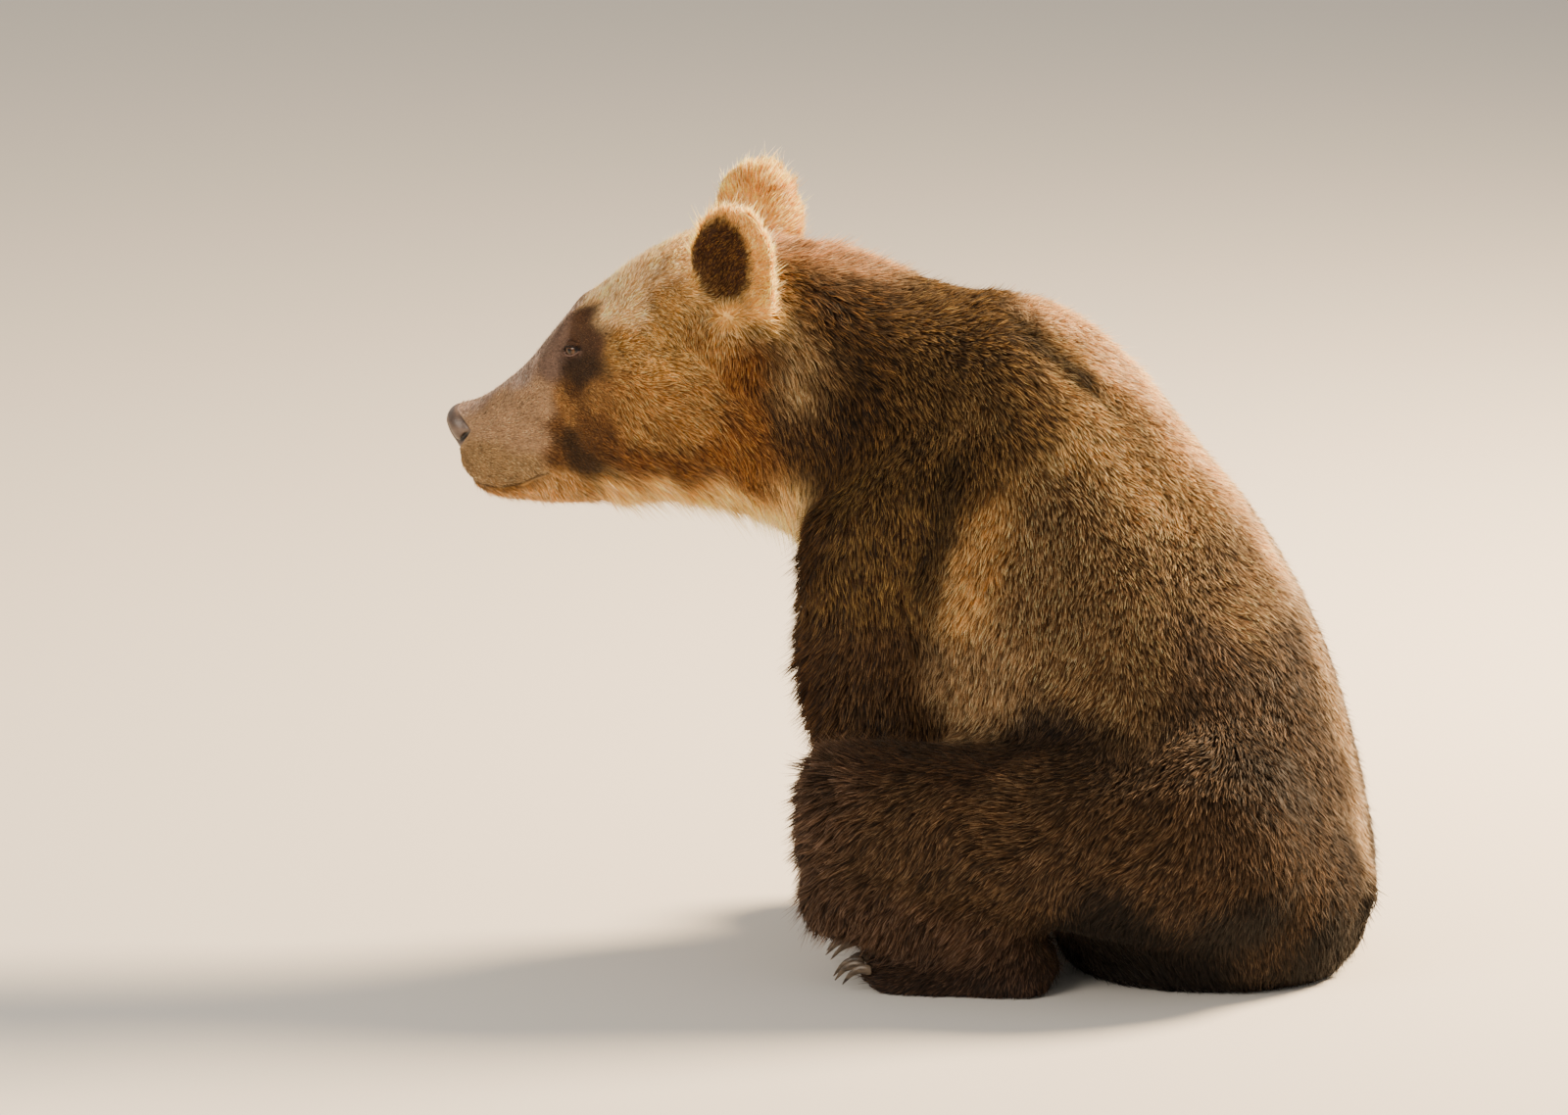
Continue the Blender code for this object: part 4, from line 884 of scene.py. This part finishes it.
def sow_roots(skin, fields):
    """Where each lock grows, and all that it takes from the skin there."""
    corners, bake_places = skin_corners(skin.data)
    points = fields["points"]
    a, b, c = (points[corners[:, i]] for i in range(3))
    area = np.linalg.norm(np.cross(b - a, c - a), axis=1) / 2
    spacing = fields["values"][corners, 3].mean(axis=1)
    middle = (a + b + c) / 3
    wanted = COAT_SHARE * area / spacing ** 2
    wanted = np.where(middle[:, 2] < BARE_UNDER, 0, wanted)
    edges = np.floor(np.cumsum(wanted) + DICE.uniform()).astype(int)
    per_face = np.diff(np.concatenate([[0], edges]))
    face = np.repeat(np.arange(len(corners)), per_face)
    u, v = DICE.uniform(size=(2, len(face)))
    over = u + v > 1
    u, v = np.where(over, 1 - u, u), np.where(over, 1 - v, v)
    weights = np.stack([1 - u - v, u, v], axis=1)
    roots = {name: (fields[name][corners[face]] * weights[:, :, None]).sum(axis=1)
             for name in ("points", "normals", "values", "comb", "shares")}
    roots["bake"] = (bake_places[face] * weights[:, :, None]).sum(axis=1)
    keep = ~hairless(roots["points"])
    roots = {name: table[keep] for name, table in roots.items()}
    long_enough = roots["values"][:, 0] > SHORTEST_GUARDED
    roots["guard"] = (DICE.uniform(size=keep.sum()) < GUARD_SHARE) & long_enough
    return roots


def grow_locks(roots, tree):
    """The three points that bend each lock: root, middle and tip, with its width and colours."""
    count = len(roots["points"])
    points, normals = roots["points"], unit(roots["normals"])
    length, width, depth, _, gather, stand = roots["values"][:, :6].T
    guard = roots["guard"]
    swirl = 0.30 * ripple(points, 0.07, 11) + 0.16 * ripple(points, 0.02, 12) + DICE.normal(0, 0.13, count)
    comb = unit(roots["comb"] - normals * (roots["comb"] * normals).sum(axis=1, keepdims=True))
    across = np.cross(normals, comb)
    comb = comb * np.cos(swirl)[:, None] + across * np.sin(swirl)[:, None]
    across = np.cross(normals, comb)
    length = length * DICE.uniform(0.66, 1.12, count) * (1 + 0.12 * ripple(points, 0.035, 13))
    length = np.where(guard, length * (1.25 + 0.45 * fade(stand, 0.78, 0.90)), length)
    width = np.where(guard, width * 0.5, width)
    height = depth * DICE.uniform(0.45, 1.0, count)
    reach = points + comb * length[:, None]
    laid = np.empty_like(reach)
    for i, place in enumerate(reach):
        near, normal, _, _ = tree.find_nearest(Vector(place))
        laid[i] = near + normal * height[i]
    lift = height * 1.1 + length * (0.10 + 0.30 * stand + 0.20 * guard)
    free = points + comb * (length * 0.90)[:, None] + normals * lift[:, None]
    wild = np.clip(stand * DICE.uniform(0, 1.6, count) + 0.8 * guard, 0, 1)[:, None]
    tip = laid + wild * (free - laid)
    heads = np.arange(0, count, max(1, count // max(1, int(count / LOCKS_IN_TUFT))))
    middles = KDTree(len(heads))
    for i, head in enumerate(heads):
        middles.insert(points[head], i)
    middles.balance()
    mine = heads[[middles.find(p)[1] for p in points]]
    gather = np.clip(gather * ~guard * DICE.uniform(0.5, 1.2, count), 0, 0.95)[:, None]
    near = fade(np.linalg.norm(points - points[mine], axis=1), 3 * width + 0.006, width + 0.003)[:, None]
    tip = tip + gather * near * 0.85 * (tip[mine] - tip)
    bend = points + comb * (0.42 * length)[:, None] + normals * (height * 0.95 + 0.02 * length)[:, None]
    bend = bend + across * (length * DICE.normal(0, 0.06, count))[:, None]
    start = points - normals * (0.0008 + 0.04 * length)[:, None]
    roll = DICE.normal(0, 0.45, count)[:, None]
    broad = across * np.cos(roll) + normals * np.sin(roll)
    return {"start": start, "bend": bend, "tip": tip, "broad": broad, "normals": normals,
            "width": width * DICE.uniform(0.75, 1.2, count), "length": length}


def lock_colours(roots):
    """Root, middle and tip colours: every lock a little lighter or darker, some with pale ends."""
    count = len(roots["points"])
    points = roots["points"]
    values = roots["values"]
    shadowed = DICE.uniform(size=count) < SHADOWED_SHARE
    glowing = fade(values[:, 9:12].mean(axis=1), 0.42, 0.58)
    tone = np.where(shadowed, 0.50 + 0.38 * glowing, LIT_TONE) + 0.16 * DICE.normal(0, 1, count)
    tone = tone + 0.10 * ripple(points, 0.05, 21) + 0.15 * ripple(points, 0.012, 22) + 0.15 * roots["guard"]
    tone = np.clip(tone, 0.30, 1.8)[:, None]
    pale = DICE.normal(0.60, 0.60, count) - 0.35 * shadowed + 0.5 * roots["guard"]
    pale = np.clip(pale, -0.3, 1.6)[:, None]
    # the roots darker than the middle: partly the hair's own dark base, partly painted shade deep in the coat
    root = values[:, 6:9] * (0.5 + 0.5 * tone)
    middle = values[:, 9:12] * tone
    tip = (values[:, 9:12] + pale * (values[:, 12:15] - values[:, 9:12]) * 1.15) * tone
    warm = 1 + DICE.normal(0, 0.035, count)[:, None] * np.array([1.0, 0.1, -1.0])
    return root * warm, middle * warm, tip * warm


def lock_mesh(name, locks, colours, bake):
    """Flat tapering blades, bent from root to tip, each with its own small place on the bake map."""
    steps, girth = np.array([0.0, 0.56]), np.array([0.85, 1.0])
    count, rows = len(locks["start"]), len(steps)
    size = rows * 2 + 1
    points = np.empty((count, size, 3), np.float32)
    shade = np.empty((count, size, 3), np.float32)
    places = np.empty((count, size, 2), np.float32)
    root, middle, tip = colours
    for i, t in enumerate(steps):
        line = (1 - t) ** 2 * locks["start"] + 2 * t * (1 - t) * locks["bend"] + t * t * locks["tip"]
        half = locks["broad"] * (locks["width"] * girth[i] / 2)[:, None]
        tint = root + (middle - root) * min(1, t * 2) + (tip - middle) * max(0, t * 2 - 1)
        for k, side in enumerate((-1, 1)):
            points[:, 2 * i + k] = line + side * half
            shade[:, 2 * i + k] = tint
            places[:, 2 * i + k] = bake + np.array([side * 0.5, t - 0.5]) * BAKE_PATCH
    points[:, -1] = locks["tip"]
    shade[:, -1] = tip
    places[:, -1] = bake + np.array([0.0, 0.5]) * BAKE_PATCH
    points[:, :, 2] = np.maximum(points[:, :, 2], LOWEST_HAIR)
    places = np.clip(places, 0.0002, 0.9998)
    quads = [[2 * i, 2 * i + 1, 2 * i + 3, 2 * i + 2] for i in range(rows - 1)]
    pattern = sum(quads, []) + [size - 3, size - 2, size - 1]
    starts = np.concatenate([np.arange(rows - 1) * 4, [4 * (rows - 1)]])
    totals = np.array([4] * (rows - 1) + [3])
    corners = (np.array(pattern)[None] + (np.arange(count) * size)[:, None]).astype(np.int32)
    mesh = bpy.data.meshes.new(name)
    mesh.vertices.add(count * size)
    mesh.vertices.foreach_set("co", points.ravel())
    mesh.loops.add(corners.size)
    mesh.loops.foreach_set("vertex_index", corners.ravel())
    mesh.polygons.add(count * rows)
    starts = (starts[None] + (np.arange(count) * len(pattern))[:, None]).astype(np.int32)
    mesh.polygons.foreach_set("loop_start", starts.ravel())
    mesh.polygons.foreach_set("loop_total", np.tile(totals, count).astype(np.int32))
    mesh.update(calc_edges=True)
    mesh.polygons.foreach_set("use_smooth", np.ones(count * rows, bool))
    layer = mesh.uv_layers.new(name="OFBake")
    layer.data.foreach_set("uv", places.reshape(-1, 2)[corners.ravel()].ravel())
    paint(mesh, shade.reshape(-1, 3))
    return mesh


def make_coat(skin, fields):
    """The locks sown over the skin, in one piece for each zone and side, split where too many."""
    roots = sow_roots(skin, fields)
    tree = BVHTree.FromObject(skin, bpy.context.evaluated_depsgraph_get())
    locks = grow_locks(roots, tree)
    colours = lock_colours(roots)
    zone = roots["shares"].argmax(axis=1)
    side = (roots["points"][:, 0] < 0).astype(int)
    hair, ear_hair = bear_hair("grizzled hair", 0.42), bear_hair("thin ear hair", 0.6)
    for number, zone_name in enumerate(ZONES):
        for which, side_name in enumerate(SIDES):
            mine = np.flatnonzero((zone == number) & (side == which))
            if not len(mine):
                continue
            mine = mine[np.argsort(roots["points"][mine, 2], kind="stable")]
            parts = math.ceil(len(mine) / MOST_LOCKS_IN_PIECE)
            for part, chosen in enumerate(np.array_split(mine, parts)):
                name = f"coat_{zone_name}_{side_name}" + (f"_{part + 1}" if parts > 1 else "")
                part_locks = {key: table[chosen] for key, table in locks.items()}
                part_colours = [table[chosen] for table in colours]
                mesh = lock_mesh(name, part_locks, part_colours, roots["bake"][chosen])
                mesh.materials.append(ear_hair if zone_name == "ear" else hair)
                piece = bpy.data.objects.new(name, mesh)
                bpy.context.scene.collection.objects.link(piece)
                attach(piece, "root")


# ---------------------------------------------------------------- materials

def add_node(tree, kind, sockets=None, links=None, stops=None, **settings):
    """A new shader node: its settings, its socket values, the outputs that feed its sockets, and
    the places and colours of its ramp."""
    node = tree.nodes.new("ShaderNode" + kind)
    for name, value in settings.items():
        setattr(node, name, value)
    for name, value in (sockets or {}).items():
        node.inputs[name].default_value = value
    for name, source in (links or {}).items():
        tree.links.new(source, node.inputs[name])
    for number, (place, code) in enumerate(stops or []):
        ramp = node.color_ramp.elements
        stop = ramp[number] if number < len(ramp) else ramp.new(place)
        stop.position, stop.color = place, (*linear(code), 1)
    return node


def new_material(name, sockets):
    """A material whose surface is one Principled shader with these socket values."""
    material = bpy.data.materials.new(name)
    material.use_nodes = True
    shader = material.node_tree.nodes["Principled BSDF"]
    for socket, value in sockets.items():
        shader.inputs[socket].default_value = value
    return material, material.node_tree, shader


def bear_hair(name, glow):
    """Dry bear hair, its locks a little paler and darker along the strands. It gives the eye a
    dull matt coat with a warm bloom where it turns away; glow is the share of light from behind
    that shines through, more on the thin ears."""
    material, tree, shader = new_material(name, {
        "Roughness": 0.62, "Specular IOR Level": 0.28, "Sheen Weight": 0.22, "Sheen Roughness": 0.45,
        "Sheen Tint": (1.0, 0.86, 0.66, 1)})
    tint = add_node(tree, "Attribute", attribute_name="coat_colour")
    place = add_node(tree, "TexCoord")
    strand = add_node(tree, "TexNoise", {"Scale": 420, "Detail": 3}, {"Vector": place.outputs["Object"]})
    level = add_node(tree, "MapRange", {"From Min": 0.3, "From Max": 0.7, "To Min": 0.78, "To Max": 1.2},
                     {"Value": strand.outputs["Fac"]})
    colour = add_node(tree, "VectorMath", links={0: tint.outputs["Color"], "Scale": level.outputs["Result"]},
                      operation="SCALE")
    tree.links.new(colour.outputs["Vector"], shader.inputs["Base Color"])
    through = add_node(tree, "BsdfTranslucent", links={"Color": colour.outputs["Vector"]})
    both = add_node(tree, "MixShader", {0: glow}, {1: shader.outputs["BSDF"], 2: through.outputs["BSDF"]})
    tree.links.new(both.outputs["Shader"], tree.nodes["Material Output"].inputs["Surface"])
    return material


def short_fur_skin():
    """Hide with short flat fur, seen between the locks and on the muzzle: matt, its colour broken
    by hairs about 1.5 mm apart that lie along the head, finer and flatter than any lock."""
    material, tree, shader = new_material("short fur on hide", {"Roughness": 0.7, "Specular IOR Level": 0.25})
    tint = add_node(tree, "Attribute", attribute_name="coat_colour")
    place = add_node(tree, "TexCoord")
    stretch = add_node(tree, "Mapping", {"Scale": (900, 260, 700)}, {"Vector": place.outputs["Object"]})
    grain = add_node(tree, "TexNoise", {"Scale": 1.0, "Detail": 3}, {"Vector": stretch.outputs["Vector"]})
    level = add_node(tree, "MapRange", {"From Min": 0.25, "From Max": 0.75, "To Min": 0.72, "To Max": 1.25},
                     {"Value": grain.outputs["Fac"]})
    colour = add_node(tree, "VectorMath", links={0: tint.outputs["Color"], "Scale": level.outputs["Result"]},
                      operation="SCALE")
    tree.links.new(colour.outputs["Vector"], shader.inputs["Base Color"])
    bump = add_node(tree, "Bump", {"Strength": 0.5, "Distance": 0.0006}, {"Height": grain.outputs["Fac"]})
    tree.links.new(bump.outputs["Normal"], shader.inputs["Normal"])
    return material


def nose_leather():
    """Bare nose leather, pebbled about every 1.6 mm and a little moist: grey brown with soft
    clouds, a low gleam, and painted shade, near black, inside the nostrils."""
    material, tree, shader = new_material("moist nose leather", {
        "Roughness": 0.42, "Coat Weight": 0.25, "Coat Roughness": 0.3})
    place = add_node(tree, "TexCoord")
    pebble = add_node(tree, "TexVoronoi", {"Scale": 620}, {"Vector": place.outputs["Object"]})
    cloud = add_node(tree, "TexNoise", {"Scale": 90}, {"Vector": place.outputs["Object"]})
    leather = add_node(tree, "ValToRGB", links={"Fac": cloud.outputs["Fac"]},
                       stops=[(0.30, "#43352D"), (0.72, "#6C584B")])
    # painted shade: near black deep in the nostrils, read from the pad's coat_colour
    hollow = add_node(tree, "Attribute", attribute_name="coat_colour")
    colour = add_node(tree, "VectorMath", links={0: leather.outputs["Color"], 1: hollow.outputs["Color"]},
                      operation="MULTIPLY")
    tree.links.new(colour.outputs["Vector"], shader.inputs["Base Color"])
    bump = add_node(tree, "Bump", {"Strength": 0.45, "Distance": 0.0006},
                    {"Height": pebble.outputs["Distance"]})
    tree.links.new(bump.outputs["Normal"], shader.inputs["Normal"])
    return material


def wet_eye(side):
    """A living eye under its tear film: amber brown iris round a black pupil, dark towards the
    white, with a small sharp glint."""
    material, tree, shader = new_material(f"wet eye {side}", {
        "Roughness": 0.10, "Specular IOR Level": 0.35, "Coat Weight": 0.25, "Coat Roughness": 0.03})
    sign = 1 if side == "left" else -1
    out, _, _ = eye_axes(sign)
    pupil = head_turned((EYE_PLACE * [sign, 1, 1] + out * EYE_RADIUS)[None])[0]
    place = add_node(tree, "TexCoord")
    from_pupil = add_node(tree, "VectorMath", {1: pupil}, {0: place.outputs["Object"]}, operation="DISTANCE")
    rings = add_node(tree, "MapRange", {"From Max": 0.012}, {"Value": from_pupil.outputs["Value"]})
    colour = add_node(tree, "ValToRGB", links={"Fac": rings.outputs["Result"]}, stops=[
        (0.00, "#030202"), (0.19, "#040302"), (0.24, "#3C2412"), (0.45, "#5E3C1C"), (0.58, "#1E120A"),
        (0.66, "#120B08"), (1.00, "#1E1512")])
    tree.links.new(colour.outputs["Color"], shader.inputs["Base Color"])
    return material


def claw_horn():
    """Worn horn: brown and scratched lengthwise, paler in streaks, with a dull polish."""
    material, tree, shader = new_material("worn claw horn", {"Roughness": 0.4})
    place = add_node(tree, "TexCoord")
    stretch = add_node(tree, "Mapping", {"Scale": (600, 60, 200)}, {"Vector": place.outputs["Object"]})
    grain = add_node(tree, "TexNoise", {"Scale": 1.0, "Detail": 4}, {"Vector": stretch.outputs["Vector"]})
    colour = add_node(tree, "ValToRGB", links={"Fac": grain.outputs["Fac"]},
                      stops=[(0.30, "#2E231B"), (0.75, "#7C6A55")])
    tree.links.new(colour.outputs["Color"], shader.inputs["Base Color"])
    bump = add_node(tree, "Bump", {"Strength": 0.3, "Distance": 0.0004}, {"Height": grain.outputs["Fac"]})
    tree.links.new(bump.outputs["Normal"], shader.inputs["Normal"])
    return material


# ---------------------------------------------------------------- eyes, nose and claws

def ball_points(rings, segments):
    """Unit ball vertices and faces, poles on the y axis."""
    points, faces = [(0.0, -1.0, 0.0)], []
    for i in range(1, rings):
        a = math.pi * i / rings
        for k in range(segments):
            b = 2 * math.pi * k / segments
            points.append((math.sin(a) * math.cos(b), -math.cos(a), math.sin(a) * math.sin(b)))
    points.append((0.0, 1.0, 0.0))
    for k in range(segments):
        faces.append((0, 1 + k, 1 + (k + 1) % segments))
        last = 1 + (rings - 2) * segments
        faces.append((len(points) - 1, last + (k + 1) % segments, last + k))
    for i in range(rings - 2):
        for k in range(segments):
            a, b = 1 + i * segments + k, 1 + i * segments + (k + 1) % segments
            faces.append((a, a + segments, b + segments, b))
    return np.array(points), faces


def head_piece(name, points, faces, material, node):
    """A smooth piece of the head, placed on the turned head, in place of its solid."""
    mesh = bpy.data.meshes.new(name)
    mesh.from_pydata(head_turned(points).tolist(), [], faces)
    mesh.polygons.foreach_set("use_smooth", np.ones(len(faces), bool))
    mesh.materials.append(material)
    piece = bpy.data.objects.new(name, mesh)
    bpy.context.scene.collection.objects.link(piece)
    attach(piece, "root")
    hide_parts(node)
    return piece


def make_eye(side):
    """The eyeball with the cornea's low dome."""
    sign = 1 if side == "left" else -1
    points, faces = ball_points(36, 56)
    out, along, up = eye_axes(sign)
    dome = 1 + 0.05 * bell(np.arccos(np.clip(-points[:, 1], -1, 1)), 0.5)
    points = points * dome[:, None] * (EYE_RADIUS - 0.0002)
    points = points[:, [0]] * along + points[:, [1]] * -out + points[:, [2]] * up
    points = points + EYE_PLACE * [sign, 1, 1]
    return head_piece(f"eye_{side}", points, faces, wet_eye(side), f"{side}_eye")


def make_nose(mould):
    """The nose pad, proud of the muzzle by a millimetre, with comma nostrils and a groove below."""
    ways, faces = ball_points(64, 128)
    points = pressed(NOSE_CORE + ways * 0.002, NOSE_CORE, mould)
    rim = inside_pad(points)
    lift = 0.0010 * fade(rim, -0.0004, 0.0020) - 0.0040 * fade(rim, 0.0002, -0.0022)
    hollow = nostril_depth(points)
    philtrum = 0.0014 * bell(points[:, 0], 0.0013) * fade(points[:, 2], 0.568, 0.552)
    reach = np.linalg.norm(points - NOSE_CORE, axis=1)
    behind = (ways[:, 1] > 0.30) | (reach > 0.045)
    reach = np.where(behind, 0.014, np.maximum(reach + lift - hollow - philtrum, 0.006))
    pad = head_piece("nose_pad", NOSE_CORE + ways * reach[:, None], faces, nose_leather(), "nose")
    # painted shade: the nostrils' hollows darkened to near black on the pad's coat_colour
    dark = 1 - 0.93 * fade(hollow, 0.0016, 0.0045)
    paint(pad.data, np.stack([dark] * 3, axis=1))
    return pad


def finish_claws():
    """The claws are the solids themselves, rounded, in horn."""
    horn = claw_horn()
    for name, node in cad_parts.items():
        if "_claw_" not in name:
            continue
        node.data.materials.clear()
        node.data.materials.append(horn)
        weld = node.modifiers.new("weld", "WELD")
        weld.merge_threshold = 0.00001
        round_off = node.modifiers.new("round", "SUBSURF")
        round_off.levels = 2
        round_off.render_levels = 2


# ---------------------------------------------------------------- floor, light and camera

def set_stage():
    """A plain pale floor, a soft pale room and two soft lamps, the warmer one behind."""
    bpy.ops.mesh.primitive_plane_add(size=80)
    floor = bpy.context.object
    floor.name = "floor"
    material, _, _ = new_material("pale matt floor", {
        "Roughness": 0.9, "Base Color": (*linear("#DEDBD5"), 1)})
    floor.data.materials.append(material)
    world = bpy.data.worlds.new("soft room")
    bpy.context.scene.world = world
    world.use_nodes = True
    room = world.node_tree.nodes["Background"]
    room.inputs["Color"].default_value = (*linear("#F1EBE2"), 1)
    room.inputs["Strength"].default_value = 0.63
    lamps = [
        ("warm_back_lamp", (-2.2, 2.4, 3.2), (0, 0.1, 0.5), 1.5, 1100, "#FFDDB0"),
        ("soft_side_lamp", (3.2, -1.6, 2.4), (0, 0, 0.4), 2.2, 100, "#FFF1E0"),
    ]
    for name, place, aim, size, power, code in lamps:
        light = bpy.data.lights.new(name, "AREA")
        light.shape = "DISK"
        light.size = size
        light.energy = power
        light.color = linear(code)
        lamp = bpy.data.objects.new(name, light)
        lamp.location = place
        lamp.rotation_euler = (Vector(aim) - Vector(place)).to_track_quat("-Z", "Y").to_euler()
        bpy.context.scene.collection.objects.link(lamp)


def set_camera():
    """Low, from the bear's left and a little behind, far off and with a long lens."""
    turn, rise, distance = math.radians(104), math.radians(11), 12.0
    middle_y, to_the_right, height = 0.0687, -0.21, 0.4158  # of the place it looks at
    sensor, view_width = 36, 1.68  # mm, and metres across the picture at the bear
    back = Vector((math.sin(turn) * math.cos(rise), -math.cos(turn) * math.cos(rise), math.sin(rise)))
    right = Vector((math.cos(turn), math.sin(turn), 0))
    up = back.cross(right)
    aim = Vector((0, middle_y, 0)) + right * to_the_right + up * height
    lens = bpy.data.cameras.new("camera")
    lens.sensor_width = sensor
    lens.lens = sensor * distance / view_width
    lens.clip_end = 200
    camera = bpy.data.objects.new("camera", lens)
    camera.location = aim + back * distance
    camera.rotation_euler = back.to_track_quat("Z", "Y").to_euler()
    bpy.context.scene.collection.objects.link(camera)
    bpy.context.scene.camera = camera


def main():
    set_camera()
    set_stage()
    mould = muzzle_mould()
    skin, fields = make_skin(mould)
    unwrap(skin)
    paint(skin.data, skin_colours(fields))
    skin.data.materials.clear()
    skin.data.materials.append(short_fur_skin())
    skin.data.polygons.foreach_set("use_smooth", np.ones(len(skin.data.polygons), bool))
    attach(skin, "root")
    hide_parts(*[name for names in FLESH.values() for name in names])
    make_coat(skin, fields)
    for side in SIDES:
        make_eye(side)
    make_nose(mould)
    finish_claws()


main()
